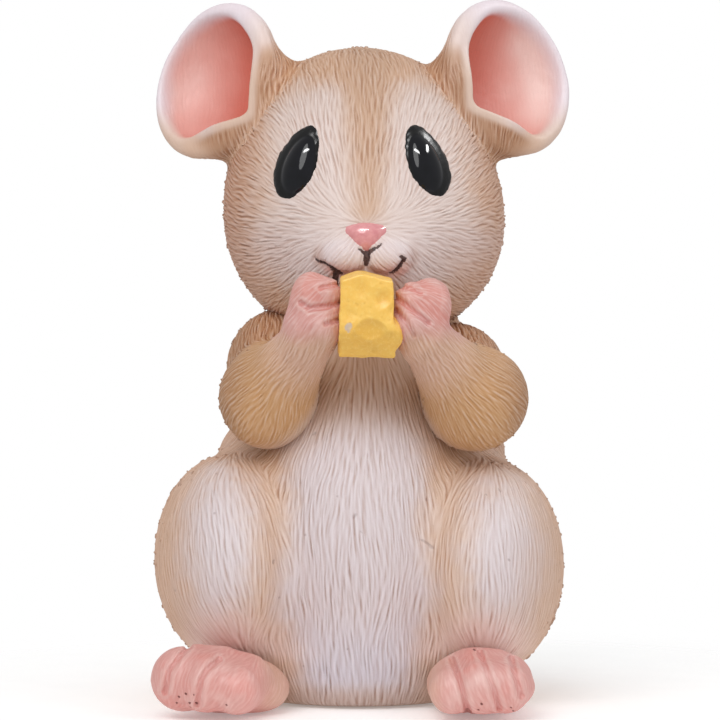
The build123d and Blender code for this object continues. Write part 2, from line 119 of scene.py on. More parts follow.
def noise(P, cell, which=0):
    """Smooth value noise, 0 to 1, in cells of a given size."""
    q = (P @ SPIN) / F(cell) + F(17.3 + 9.1 * which)
    i = np.floor(q)
    f = q - i
    f = f * f * (3 - 2 * f)
    i = i.astype(np.int32) & 63
    j = (i + 1) & 63
    t = TABLE[which].ravel()
    a0, a1 = i[:, 0] * 4096, j[:, 0] * 4096
    b0, b1 = i[:, 1] * 64, j[:, 1] * 64
    c0, c1 = i[:, 2], j[:, 2]
    fx, fy, fz = f[:, 0], f[:, 1], f[:, 2]
    x00 = t[a0 + b0 + c0] * (1 - fx) + t[a1 + b0 + c0] * fx
    x10 = t[a0 + b1 + c0] * (1 - fx) + t[a1 + b1 + c0] * fx
    x01 = t[a0 + b0 + c1] * (1 - fx) + t[a1 + b0 + c1] * fx
    x11 = t[a0 + b1 + c1] * (1 - fx) + t[a1 + b1 + c1] * fx
    y0 = x00 * (1 - fy) + x10 * fy
    y1 = x01 * (1 - fy) + x11 * fy
    return y0 * (1 - fz) + y1 * fz


def soft_noise(P, cell, which=0):
    """Two octaves about zero, roughly -1 to 1."""
    return (noise(P, cell, which) * 2 - 1) * 0.9 + (noise(P, cell * 0.47, (which + 1) % 4) * 2 - 1) * 0.45


# ---------------------------------------------------------------- distance shapes
def ell(P, c, r, R=None):
    q = P - V(*c)
    if R is not None:
        q = q @ R
    r = V(*r)
    k0 = np.sqrt(((q / r) ** 2).sum(1))
    k1 = np.sqrt(((q / (r * r)) ** 2).sum(1))
    return k0 * (k0 - 1) / np.maximum(k1, 1e-6)


def cap(P, a, b, ra, rb):
    a = V(*a)
    b = V(*b)
    ba = b - a
    t = np.clip(((P - a) @ ba) / float(ba @ ba), 0, 1)
    d = P - a - t[:, None] * ba
    return np.sqrt((d * d).sum(1)) - (ra + (rb - ra) * t)


def smin(a, b, k):
    h = np.maximum(k - np.abs(a - b), 0) / k
    return np.minimum(a, b) - h * h * k * F(0.25)


def smax(a, b, k):
    return -smin(-a, -b, k)


def line(P, pts):
    """Distance to a chain of straight lines in space."""
    d = None
    for a, b in zip(pts[:-1], pts[1:]):
        c = cap(P, a, b, 0.0, 0.0)
        d = c if d is None else np.minimum(d, c)
    return d


# ---------------------------------------------------------------- the head and ears
def sd_head0(P):
    d = ell(P, (-0.3, 1.2, 118.3), (30.0, 28.3, 31.0))
    d = smin(d, ell(P, (1.2, -1.2, 107.1), (31.1, 27.3, 26.3)), 9.0)
    d = smin(d, ell(P, (0.9, -20.5, 103.6), (14.5, 13.0, 12.4)), 9.0)
    d = smin(d, ell(P, (-3.3, -30.6, 101.4), (5.9, 4.6, 4.4)), 2.6)
    d = smin(d, ell(P, (5.3, -30.6, 101.4), (5.9, 4.6, 4.4)), 2.6)
    return d


EAR = {
    "R": dict(C=(-33.9, 0.0, 141.7), az=-32, el=12, roll=-18, a=15.2, b=18.6, dp=11.5, root=((-21.2, -2.4, 140.0), (-29.2, -0.6, 131.8), 7.9, 7.6),
              cup=((0.6, -0.1, 2.4), (15.0, 15.3, 9.7)), cut=(12.0, (0.293, 0.956, 11.8), 13.2)),
    "L": dict(C=(34.0, 0.0, 142.5), az=32, el=12, roll=17, a=16.0, b=18.5, dp=11.5, root=((22.2, -2.4, 140.2), (30.2, -0.6, 131.8), 7.7, 7.6),
              cup=((0.8, -0.1, 2.4), (15.2, 15.2, 9.7)), cut=(12.4, (0.379, 0.925, 11.5), 13.4)),
}


def ear_frame(s):
    e = EAR[s]
    az, el, ro = math.radians(e["az"]), math.radians(e["el"]), math.radians(e["roll"])
    n = np.array([math.sin(az) * math.cos(el), -math.cos(az) * math.cos(el), math.sin(el)])
    a = -np.cross(n, [0, 0, 1.0])
    a /= np.linalg.norm(a)
    b = np.cross(n, a)
    b /= np.linalg.norm(b)
    if b[2] < 0:
        b = -b
    return np.array(e["C"]), a * math.cos(ro) + b * math.sin(ro), b * math.cos(ro) - a * math.sin(ro), n


def ear_local(P, s):
    C, a, b, n = ear_frame(s)
    return np.stack([(P - C.astype(F)) @ v.astype(F) for v in (a, b, n)], 1)


def ear_parts(P, s):
    """The cast disc of the ear, the furry root and the hollow, which is D-shaped."""
    e = EAR[s]
    q = ear_local(P, s)
    disc = ell(q, (0, 0, 0.0), (e["a"], e["b"], e["dp"]))
    o = smax(disc, q[:, 2] - 1.8, 2.6)
    r = cap(P, *e["root"])
    u = ear_upright(q, s)
    i = smax(ell(u, *e["cup"]), u[:, 0] - e["cut"][0], 1.6)
    ca, cb, cc = e["cut"][1]
    i = smax(i, F(ca) * u[:, 0] - F(cb) * u[:, 1] - F(cc), 1.9)
    i = smax(i, 0.82 * u[:, 0] + 0.57 * u[:, 1] - e["cut"][2], 4.0)
    return o, r, smax(i, disc + 1.1 - 5.0 * S(0.0, 9.0, u[:, 0]), 3.0)


def ear_upright(q, s):
    """The disc's own axes turned upright; the first runs toward the head."""
    ro = math.radians(EAR[s]["roll"])
    c, d = F(math.cos(ro)), F(math.sin(ro))
    return np.stack([(q[:, 0] * c - q[:, 1] * d) * F(1 if s == "R" else -1), q[:, 0] * d + q[:, 1] * c, q[:, 2]], 1)


def lip(P, s):
    """How softly the rim rolls into the hollow: crisp by the head, wider outside and on top."""
    u = ear_upright(ear_local(P, s), s)
    return (0.9 + 1.5 * S(1.0, -11.0, u[:, 0]) + 0.8 * S(2, 14, u[:, 1])).astype(F)


def ear_split(P, s):
    sg = -1 if s == "R" else 1
    n = np.array([sg * 0.80, -0.05, 0.60])
    n /= np.linalg.norm(n)
    c = np.array([sg * 21.2, 3, 135.7])
    return -((P - c.astype(F)) @ n.astype(F))


def sd_skull(P):
    d = sd_head0(P)
    for s in "RL":
        o, r, i = ear_parts(P, s)
        g = smin(d, r, 3.4)
        g = smin(g, o, 4.0)
        d = smax(g, -i, lip(P, s))
    return d


def sd_head(P):
    d = sd_skull(P)
    for s in "RL":
        d = np.maximum(d, -ear_split(P, s) - 0.6)
    return np.maximum(d, 85.0 - P[:, 2])


def sd_ear(P, s):
    return np.maximum(sd_skull(P), ear_split(P, s) - 0.6)


# ---------------------------------------------------------------- body, arms, feet
def sd_core(P):
    d = ell(P, (0.5, 4.5, 74.0), (25.5, 23.0, 25.0))
    d = smin(d, ell(P, (-0.8, -7.0, 36.0), (27.0, 30.0, 37.0)), 14.0)
    d = smin(d, ell(P, (-0.7, 10.0, 33.0), (37.0, 31.0, 36.0)), 10.0)
    d = smin(d, ell(P, (0.6, 5.0, 57.0), (32.3, 20.0, 9.5)), 7.0)
    return smin(d, ell(P, (-0.7, -0.5, 9.0), (31.0, 29.5, 15.5)), 12.0)


def sd_haunch(P, s):
    if s == "R":
        return ell(P, (-30.0, -12.0, 32.5), (17.0, 28.5, 23.8), rotm(0, 0, 8))
    return ell(P, (29.0, -12.0, 30.8), (17.0, 28.5, 24.3), rotm(0, 0, -8))


def sd_body(P):
    d = smin(sd_core(P), sd_haunch(P, "R"), 6.0)
    d = smin(d, sd_haunch(P, "L"), 6.0)
    return smax(d, 0.4 - P[:, 2], 1.6)


def sd_torso(P):
    return np.maximum(sd_body(P), -(sd_head0(P) + 1.6))


ARM = {
    "R": dict(
        up=((-18.4, -3.5, 76.3), (12.4, 14.0, 13.3), rotm(0, 20, 0)),
        el=((-20.8, -19.3, 69.9), (10.5, 12.0, 11.4)),
        cone=((-21.0, -21, 69.5), (-11.0, -37.0, 84.0), 10.0, 5.2),
        paw=((-12.0, -37.0, 83.6), (-11.2, -38.4, 90.4), 5.4, 4.8),
        fing=[((-11.0, -38.6, 94.0), (-7.2, -41.2, 93.4), 4.2, 3.4), ((-11.4, -38.8, 86.4), (-8.4, -40.8, 86.2), 5.2, 4.6),
              ((-10.2, -38.6, 90.4), (-7.6, -39.6, 90.2), 4.4, 3.9)]),
    "L": dict(
        up=((19.9, -3.5, 73.7), (13.4, 14.3, 12.3), rotm(0, -25, 0)),
        el=((25.9, -19.5, 69.6), (11.5, 12.0, 11.4)),
        cone=((25.0, -21, 69.3), (14.0, -37.0, 83.5), 10.6, 5.4),
        paw=((13.8, -37.0, 83.5), (13.2, -38.0, 90.5), 5.3, 4.8),
        fing=[((15.0, -38.0, 90.6), (11.2, -40.4, 91.8), 4.9, 4.2), ((13.2, -39.2, 84.8), (11.2, -41.6, 86.6), 4.9, 4.3),
              ((16.4, -36.2, 93.6), (15.2, -38.0, 94.4), 2.7, 2.5), ((12.2, -38.8, 88.4), (11.0, -39.8, 89.2), 4.4, 4.0)]),
}


def sd_arm0(P, s):
    A = ARM[s]
    f = smin(ell(P, *A["el"]), cap(P, *A["cone"]), 4.0)
    f = smin(f, cap(P, *A["paw"]), 3.0)
    for g in A["fing"]:
        f = smin(f, cap(P, *g), 1.9)
    f = f + F(0.62) * crease(P, HAND_LINES[s])
    return smin(ell(P, *A["up"]), f, 6.0)


def sd_arm(P, s):
    return np.maximum(sd_arm0(P, s), -(sd_body(P) + 1.6))


FOOT = {
    "R": dict(base=[((-28.0, -31.5, 5.4), (11.8, 13.5, 7.2), rotm(0, 0, 15)), ((-32.5, -37.5, 8.2), (11.5, 9.0, 6.8), rotm(0, 0, 25))],
              toes=[((-36.4, -38.0, 9.0), (-39.1, -43.0, 8.7), 6.8, 7.2), ((-31.2, -40.0, 9.2), (-33.8, -46.8, 8.0), 6.4, 6.3),
                    ((-25.6, -40.0, 7.9), (-27.4, -47.6, 6.9), 6.2, 5.6)]),
    "L": dict(base=[((25.8, -32.0, 6.2), (11.2, 14.0, 7.8), rotm(0, 0, -8)), ((26.6, -38.0, 8.2), (9.8, 8.5, 6.6), None)],
              toes=[((20.4, -40.0, 7.7), (20.0, -47.4, 6.6), 5.4, 5.2), ((24.4, -40.0, 9.0), (26.3, -48.4, 7.5), 6.1, 6.0),
                    ((29.4, -40.0, 8.9), (31.4, -47.6, 7.2), 5.9, 5.6), ((33.2, -39.0, 8.6), (34.1, -44.4, 7.2), 4.5, 4.0)]),
}
CREASES = {
    "R": [[(189, 647, 0), (178, 659, 0), (169, 672, 0), (165, 692, 0)], [(219, 660, 0), (208, 669, 0), (201, 680, 0), (197, 704, 0)]],
    "L": [[(452, 660, 0), (458, 676, 0), (463, 692, 0), (468, 711, 0)], [(480, 653, 0), (486, 668, 0), (492, 685, 0), (499, 708, 0)],
          [(511, 659, 0), (515, 675, 0), (521, 696, 0)]],
}
HAND_LINES = {
    "R": [[(301, 303, -0.3), (309, 308.5, 0), (318, 307.5, 0.1), (328, 306.5, 0.1), (335, 304, 0.1), (344, 300, 0.1)],
          [(321, 288, -0.5), (330, 286, -0.2), (340, 285, 0)], [(326, 324, -0.5), (333, 322, -0.2), (341, 319, 0)]],
    "L": [[(395, 297, 0.1), (405, 304, 0.1), (415, 313, 0), (428, 323, 0)], [(397, 311, 0), (406, 322, -0.2), (414, 335, -0.5)],
          [(398, 287, 0), (409, 288, -0.2), (420, 293, -0.5)]],
}


def crease(P, chains):
    """Depth, 0 to 1, of the folds between toes or fingers, on the front of a piece."""
    c = np.zeros(len(P), F)
    m = P[:, 1] < -30
    if m.any():
        Q = P[m]
        for ch in chains:
            c[m] = np.maximum(c[m], S(1.15, 0.0, drawn(Q, ch)))
        c[m] *= S(-30, -36, Q[:, 1])
    return c


def sd_foot0(P, s):
    d = None
    for c, r, R in FOOT[s]["base"]:
        e = ell(P, c, r, R)
        d = e if d is None else smin(d, e, 2.5)
    for a, b, r0, r1 in FOOT[s]["toes"]:
        d = smin(d, cap(P, a, b, r0, r1), 1.5)
    d = d + F(0.75) * crease(P, CREASES[s])
    return smax(d, 0.4 - P[:, 2], 2.0)


def sd_foot(P, s):
    return np.maximum(sd_foot0(P, s), -(sd_body(P) + 1.6))


CHEESE_C, CHEESE_R = V(1.15, -41.6, 88.3), rotm(4, 0, 1.0)


def sd_cheese(P):
    q = (P - CHEESE_C) @ CHEESE_R
    w = 5.95 - 0.03 * q[:, 2]
    e = np.stack([np.abs(q[:, 0]) - w, np.abs(q[:, 1]) - 5.6, np.abs(q[:, 2] - 0.6) - 9.4], 1) + 0.6
    d = np.sqrt((np.maximum(e, 0) ** 2).sum(1)) + np.minimum(e.max(1), 0) - 0.6
    d = smax(d, (q - V(-1.4, 0, 10.0)) @ V(-0.34, 0, 0.94), 0.5)
    d = smax(d, (q - V(-1.4, 0, 10.0)) @ V(0.235, 0, 0.972), 0.5)
    d = smin(d, ell(q, (5.7, -2.4, -3.5), (2.2, 3.0, 3.3)), 1.6)
    return smax(d, (q - V(0, -5.6, -2.3)) @ V(0, -0.86, -0.51), 0.7)


def sd_nose(P):
    d = ell(P, (0.95, -32.5, 107.0), (4.6, 2.4, 2.1))
    d = smin(d, cap(P, (-2.4, -31.9, 107.2), (4.4, -31.9, 107.2), 1.5, 1.5), 1.0)
    return smin(d, ell(P, (0.95, -33.0, 105.0), (2.9, 2.0, 2.5)), 2.0)


EYE = {"R": dict(x=-14.5, z=122.8, tilt=16), "L": dict(x=14.8, z=123.1, tilt=-14)}


def front_of(field, x, z, lo=-60.0, hi=0.0):
    """Where a line along +Y first meets a shape."""
    lo = np.full(len(np.atleast_1d(x)), lo, float)
    hi = np.full(len(lo), hi, float)
    for _ in range(28):
        m = (lo + hi) / 2
        out = field(np.stack([np.atleast_1d(x), m, np.atleast_1d(z)], 1).astype(F)) > 0
        lo = np.where(out, m, lo)
        hi = np.where(out, hi, m)
    return (lo + hi) / 2


CAM_E = math.radians(2.0)
CAM_AT = np.array([-0.3, -900 * math.cos(CAM_E), 77.4 + 900 * math.sin(CAM_E)])


def front_view(P):
    """Where a point stands in the 720 x 720 front view."""
    r = P - CAM_AT.astype(F)
    c, s = F(math.cos(CAM_E)), F(math.sin(CAM_E))
    dep = r[:, 1] * c - r[:, 2] * s
    return np.stack([360 + 3907 * r[:, 0] / dep, 360 - 3907 * (r[:, 1] * s + r[:, 2] * c) / dep], 1)


def drawn(P, chain):
    """Distance in mm, in the front view, to a chain of (x, y, half width) points; below 0 inside it."""
    v = front_view(P)
    best = np.full(len(P), 99.0, F)
    for (x0, y0, w0), (x1, y1, w1) in zip(chain[:-1], chain[1:]):
        a, d = V(x0, y0), V(x1 - x0, y1 - y0)
        k = np.clip(((v - a) @ d) / float(d @ d), 0, 1)
        q = v - a - k[:, None] * d
        best = np.minimum(best, np.sqrt((q * q).sum(1)) - (w0 + (w1 - w0) * k))
    return best * F(0.222)


def grad(field, P, e=0.12):
    def one(P):
        g = np.zeros_like(P)
        for s in ((1, -1, -1), (-1, 1, -1), (-1, -1, 1), (1, 1, 1)):
            g += V(*s) * field(P + V(*s) * F(e))[:, None]
        return unit(g)
    return par(one, P)


def eye_frame(s):
    e = EYE[s]
    p = np.array([[e["x"], front_of(sd_head0, e["x"], e["z"])[0], e["z"]]], F)
    n = grad(sd_head0, p, 0.3)[0].astype(float)
    a = -np.cross(n, [0, 0, 1])
    a /= np.linalg.norm(a)
    b = np.cross(n, a)
    if b[2] < 0:
        b = -b
    t = math.radians(e["tilt"])
    return p[0].astype(float), a * math.cos(t) - b * math.sin(t), b * math.cos(t) + a * math.sin(t), n


EYF = {s: eye_frame(s) for s in "RL"}


def eye_local(P, s):
    C, a, b, n = EYF[s]
    return np.stack([(P - C.astype(F)) @ v.astype(F) for v in (a, b, n)], 1)


def sd_eye(P, s):
    q = eye_local(P, s)
    sg = 1.0 if s == "R" else -1.0          # +1: the nose is on the side of +a
    taper = V(1, 1, 1) * np.stack([1 + 0.022 * q[:, 1] + 0.0012 * q[:, 1] ** 2, np.ones(len(q), F), np.ones(len(q), F)], 1)
    q = q * taper.astype(F)
    rim = ell(q, (0, 0, -0.95), (5.25, 8.75, 2.0)) * F(0.85)
    dome = ell(q, (0.85 * sg, -0.45, -0.85), (3.95, 7.35, 2.85)) * F(0.85)
    return smin(rim, dome, 0.18)


# tail: angle round the body's axis, radius, height of its middle
TAIL = [(84, 5.0, 8.0), (98, 4.8, 7.2), (114, 4.4, 6.6), (130, 3.9, 6.2), (146, 3.4, 6.0), (161, 2.9, 6.0), (175, 2.4, 6.4), (187, 1.8, 7.4)]


def tail_path():
    pts = []
    for ang, r, h in TAIL:
        a = math.radians(ang)
        u = np.array([math.cos(a), math.sin(a)])
        lo, hi = 20.0, 60.0
        for _ in range(30):
            m = (lo + hi) / 2
            if sd_body(np.array([[-0.7 + u[0] * m, 2 + u[1] * m, h]], F))[0] < 0:
                lo = m
            else:
                hi = m
        m = lo + 0.45 * r
        pts.append((-0.7 + u[0] * m, 2 + u[1] * m, h))
    pts = [(pts[0][0] + 4.0, pts[0][1] - 7.5, pts[0][2] + 1.2)] + pts
    p = np.array(pts)
    p = np.vstack([2 * p[0] - p[1], p, 2 * p[-1] - p[-2]])
    out = []
    for i in range(1, len(p) - 2):
        for t in np.linspace(0, 1, 5)[:-1]:
            out.append(0.5 * ((2 * p[i]) + (p[i + 1] - p[i - 1]) * t + (2 * p[i - 1] - 5 * p[i] + 4 * p[i + 1] - p[i + 2]) * t * t
                              + (3 * p[i] - p[i - 1] - 3 * p[i + 1] + p[i + 2]) * t ** 3))
    out.append(p[-2])
    out = np.array(out)
    run = np.r_[0, np.cumsum(np.linalg.norm(np.diff(out, axis=0), axis=1))]
    t = run / run[-1]
    return out, 5.1 * (1 - t) ** 0.75 + 1.7 * t ** 1.2, run


TP, TR, TRUN = tail_path()


def sd_tail0(P):
    d = None
    for a, b, ra, rb in zip(TP[:-1], TP[1:], TR[:-1], TR[1:]):
        c = cap(P, a, b, ra, rb)
        d = c if d is None else smin(d, c, 0.8)
    return d


def sd_tail(P):
    return np.maximum(sd_tail0(P), -(sd_body(P) + 1.6))


# ---------------------------------------------------------------- surfaces from distances
def nets(field, lo, hi, h):
    """A closed quad mesh of field = 0, and the grid it came from."""
    lo = np.array(lo, float)
    n = [int(math.ceil((b - a) / h)) + 1 for a, b in zip(lo, hi)]
    ax = [(lo[i] + h * np.arange(n[i])).astype(F) for i in range(3)]
    P = np.stack(np.meshgrid(*ax, indexing="ij"), -1).reshape(-1, 3)
    d = par(field, P).reshape(n)
    s = d < 0
    cnt = np.zeros([k - 1 for k in n], np.int8)
    corners = [(i, j, k) for i in (0, 1) for j in (0, 1) for k in (0, 1)]
    for i, j, k in corners:
        cnt += s[i:n[0] - 1 + i, j:n[1] - 1 + j, k:n[2] - 1 + k]
    act = (cnt > 0) & (cnt < 8)
    idx = np.full(act.shape, -1, np.int32)
    idx[act] = np.arange(int(act.sum()))
    c = np.argwhere(act)
    acc = np.zeros((len(c), 3))
    num = np.zeros(len(c))
    for o in corners:
        for k in range(3):
            if o[k]:
                continue
            o2 = list(o)
            o2[k] = 1
            a = d[c[:, 0] + o[0], c[:, 1] + o[1], c[:, 2] + o[2]]
            b = d[c[:, 0] + o2[0], c[:, 1] + o2[1], c[:, 2] + o2[2]]
            m = (a < 0) != (b < 0)
            t = a[m] / (a[m] - b[m])
            p = np.tile(np.array(o, float), (int(m.sum()), 1))
            p[:, k] += t
            acc[m] += p
            num[m] += 1
    verts = (c + acc / num[:, None]) * h + lo
    quads = []
    for k in range(3):
        u, v = (k + 1) % 3, (k + 2) % 3
        s0 = np.take(s, range(n[k] - 1), axis=k)
        s1 = np.take(s, range(1, n[k]), axis=k)
        e = np.argwhere(s0 != s1)
        e = e[(e[:, u] > 0) & (e[:, v] > 0) & (e[:, u] < n[u] - 1) & (e[:, v] < n[v] - 1)]
        inside = s[e[:, 0], e[:, 1], e[:, 2]]
        du, dv = np.eye(3, dtype=int)[u], np.eye(3, dtype=int)[v]
        q = [idx[tuple((e - du - dv).T)], idx[tuple((e - dv).T)], idx[tuple(e.T)], idx[tuple((e - du).T)]]
        q = np.stack(q, 1)
        q[~inside] = q[~inside][:, ::-1]
        quads.append(q)
    return verts.astype(F), np.concatenate(quads), dict(field=field, lo=lo.astype(F), h=h, n=n)


def settle(field, P, rounds=2):
    """Moves points along the gradient onto the surface."""
    for _ in range(rounds):
        P = P - grad(field, P) * np.clip(par(field, P), -1.2, 1.2)[:, None]
    return P


def relax(field, V0, Q, rounds=3):
    """Evens out the net's cells, staying on the surface."""
    E = np.concatenate([Q[:, [0, 1]], Q[:, [1, 2]], Q[:, [2, 3]], Q[:, [3, 0]]])
    num = np.bincount(E[:, 0], minlength=len(V0)) + np.bincount(E[:, 1], minlength=len(V0))
    P = V0
    for _ in range(rounds):
        m = np.zeros_like(P)
        for k in range(3):
            m[:, k] = (np.bincount(E[:, 0], P[E[:, 1], k], len(P)) + np.bincount(E[:, 1], P[E[:, 0], k], len(P))) / np.maximum(num, 1)
        P = settle(field, (P * 0.4 + m * 0.6).astype(F), 1)
    return P


def new_mesh(name, P, Q):
    me = bpy.data.meshes.new(name)
    me.vertices.add(len(P))
    me.vertices.foreach_set("co", np.ascontiguousarray(P, F).ravel())
    me.loops.add(Q.size)
    me.loops.foreach_set("vertex_index", np.ascontiguousarray(Q, np.int32).ravel())
    me.polygons.add(len(Q))
    me.polygons.foreach_set("loop_start", np.arange(0, Q.size, Q.shape[1], dtype=np.int32))
    me.update(calc_edges=True)
    me.validate()
    return me


def fine_mesh(name, P, Q, levels):
    """A Blender object with UVs laid out on the plain mesh, subdivided."""
    me = new_mesh(name, P * MM, Q)
    o = bpy.data.objects.new(name, me)
    bpy.context.scene.collection.objects.link(o)
    for x in bpy.context.selected_objects:
        x.select_set(False)
    bpy.context.view_layer.objects.active = o
    o.select_set(True)
    me.uv_layers.new(name="OFBake")
    bpy.ops.object.mode_set(mode="EDIT")
    bpy.ops.mesh.select_all(action="SELECT")
    bpy.ops.uv.smart_project(angle_limit=math.radians(66), island_margin=0.003)
    bpy.ops.object.mode_set(mode="OBJECT")
    o.select_set(False)
    m = o.modifiers.new("sub", "SUBSURF")
    m.levels = m.render_levels = levels
    m.boundary_smooth = "ALL"
    dg = bpy.context.evaluated_depsgraph_get()
    me2 = bpy.data.meshes.new_from_object(o.evaluated_get(dg), depsgraph=dg)
    me2.name = name
    o.modifiers.clear()
    o.data = me2
    bpy.data.meshes.remove(me)
    co = np.zeros(len(me2.vertices) * 3, F)
    me2.vertices.foreach_get("co", co)
    return o, co.reshape(-1, 3) / F(MM)


def put(o, P):
    o.data.vertices.foreach_set("co", ((P + SHIFT) * F(MM)).astype(F).ravel())
    o.data.shade_smooth()
    o.data.update()


def attr(o, name, v):
    v = np.asarray(v, F)
    if v.ndim == 1:
        a = o.data.attributes.new(name, "FLOAT", "POINT")
        a.data.foreach_set("value", v)
    else:
        a = o.data.attributes.new(name, "FLOAT_COLOR", "POINT")
        a.data.foreach_set("color", np.concatenate([v, np.ones((len(v), 1), F)], 1).ravel())


# ---------------------------------------------------------------- carved fur
def flow_of(grid, direction, wave=0.22, step=0.9):
    """Unit stroke directions on a grid near the surface, tangent to it, gently wavy."""
    lo, hi = grid["lo"], grid["lo"] + F(grid["h"]) * (np.array(grid["n"], F) - 1)
    n = [int(math.ceil(float(b - a) / step)) + 1 for a, b in zip(lo, hi)]
    P = np.stack(np.meshgrid(*[(lo[i] + step * np.arange(n[i])).astype(F) for i in range(3)], indexing="ij"), -1).reshape(-1, 3)
    near = np.abs(par(grid["field"], P)) < 1.7 * step
    Q = P[near]
    nn = grad(grid["field"], Q, 0.5)

    def one(k):
        P, nn = k[:, :3], k[:, 3:]
        t = direction(P)
        t = unit(t - nn * dot(t, nn)[:, None])
        w = (soft_noise(P, 7.0, 2) * wave + soft_noise(P, 3.0, 3) * wave * 0.5)[:, None]
        return unit(t * np.cos(w) + np.cross(nn, t) * np.sin(w)).astype(F)

    t = np.zeros_like(P)
    t[near] = par(one, np.concatenate([Q, nn], 1))
    return dict(t=t, lo=lo, h=F(step), n=n)


def follow(fl, P):
    i = np.rint((P - fl["lo"]) / fl["h"]).astype(np.int32)
    for k in range(3):
        np.clip(i[:, k], 0, fl["n"][k] - 1, out=i[:, k])
    return fl["t"][(i[:, 0] * fl["n"][1] + i[:, 1]) * fl["n"][2] + i[:, 2]]


def strokes(fl, P, cell, reach, step, which):
    """Noise drawn out along the strokes' direction: mean 0, spread 1."""
    k = max(2, int(round(reach / step)))

    def one(P):
        acc = noise(P, cell, which)
        for sg in (1, -1):
            Q = P.copy()
            for i in range(k):
                Q += follow(fl, Q) * F(sg * step)
                acc += noise(Q, cell, which) * F(0.5 + 0.5 * math.cos(math.pi * (i + 1) / (k + 1)))
        return acc

    acc = par(one, P)
    acc -= acc.mean()
    return acc / max(float(acc.std()), 1e-6)


def crisp(o, u, mm=0.42):
    """Takes the broad swells out of the strokes, so that they stay fine and evenly spaced."""
    me = o.data
    e = np.zeros(len(me.edges) * 2, np.int32)
    me.edges.foreach_get("vertices", e)
    e0, e1 = e[0::2], e[1::2]
    co = np.zeros(len(me.vertices) * 3, F)
    me.vertices.foreach_get("co", co)
    co = co.reshape(-1, 3)
    h = float(np.sqrt(((co[e0[::97]] - co[e1[::97]]) ** 2).sum(1)).mean()) / MM
    num = np.maximum(np.bincount(e0, minlength=len(u)) + np.bincount(e1, minlength=len(u)), 1)
    b = u.astype(float)
    for _ in range(int(min(40, max(3, round(4 * (mm / h) ** 2))))):
        b = 0.5 * b + 0.5 * (np.bincount(e0, b[e1], len(u)) + np.bincount(e1, b[e0], len(u))) / num
    u = (u - b).astype(F)
    return u / max(float(u.std()), 1e-6)


def fur(o, fl, P, cell=0.35, reach=3.8):
    """Fine tooled strokes, mean 0 and spread 1."""
    return crisp(o, strokes(fl, P, cell, reach, reach / 11, 0), cell * 1.2)


def relief(u):
    """Rounded ridges and narrower, deeper grooves."""
    return np.clip(u, -2.4, 2.0) * 0.8 - 0.16 * np.clip(u, -2.4, 2.0) ** 2 - 0.9


def burrs(P, n, cell=1.1, lo=0.80):
    """Rare specks of cast metal-hard resin that stand off the sides."""
    b = S(lo, lo + 0.1, noise(P, cell, 3)) * S(0.42, 0.15, np.abs(n[:, 1]))
    return b


WHITE, CREAM, TAN = rgb(224, 211, 214), rgb(222, 200, 186), rgb(212, 172, 142)
OCHRE, BROWN, DARK = rgb(194, 148, 100), rgb(150, 104, 74), rgb(58, 38, 32)
RUST, BLUSH, SKIN = rgb(178, 124, 96), rgb(220, 172, 164), rgb(220, 158, 150)
ROSE, PALE, CORAL = rgb(228, 142, 132), rgb(236, 200, 192), rgb(200, 100, 82)
SALMON, LAV = rgb(232, 172, 162), rgb(232, 220, 226)


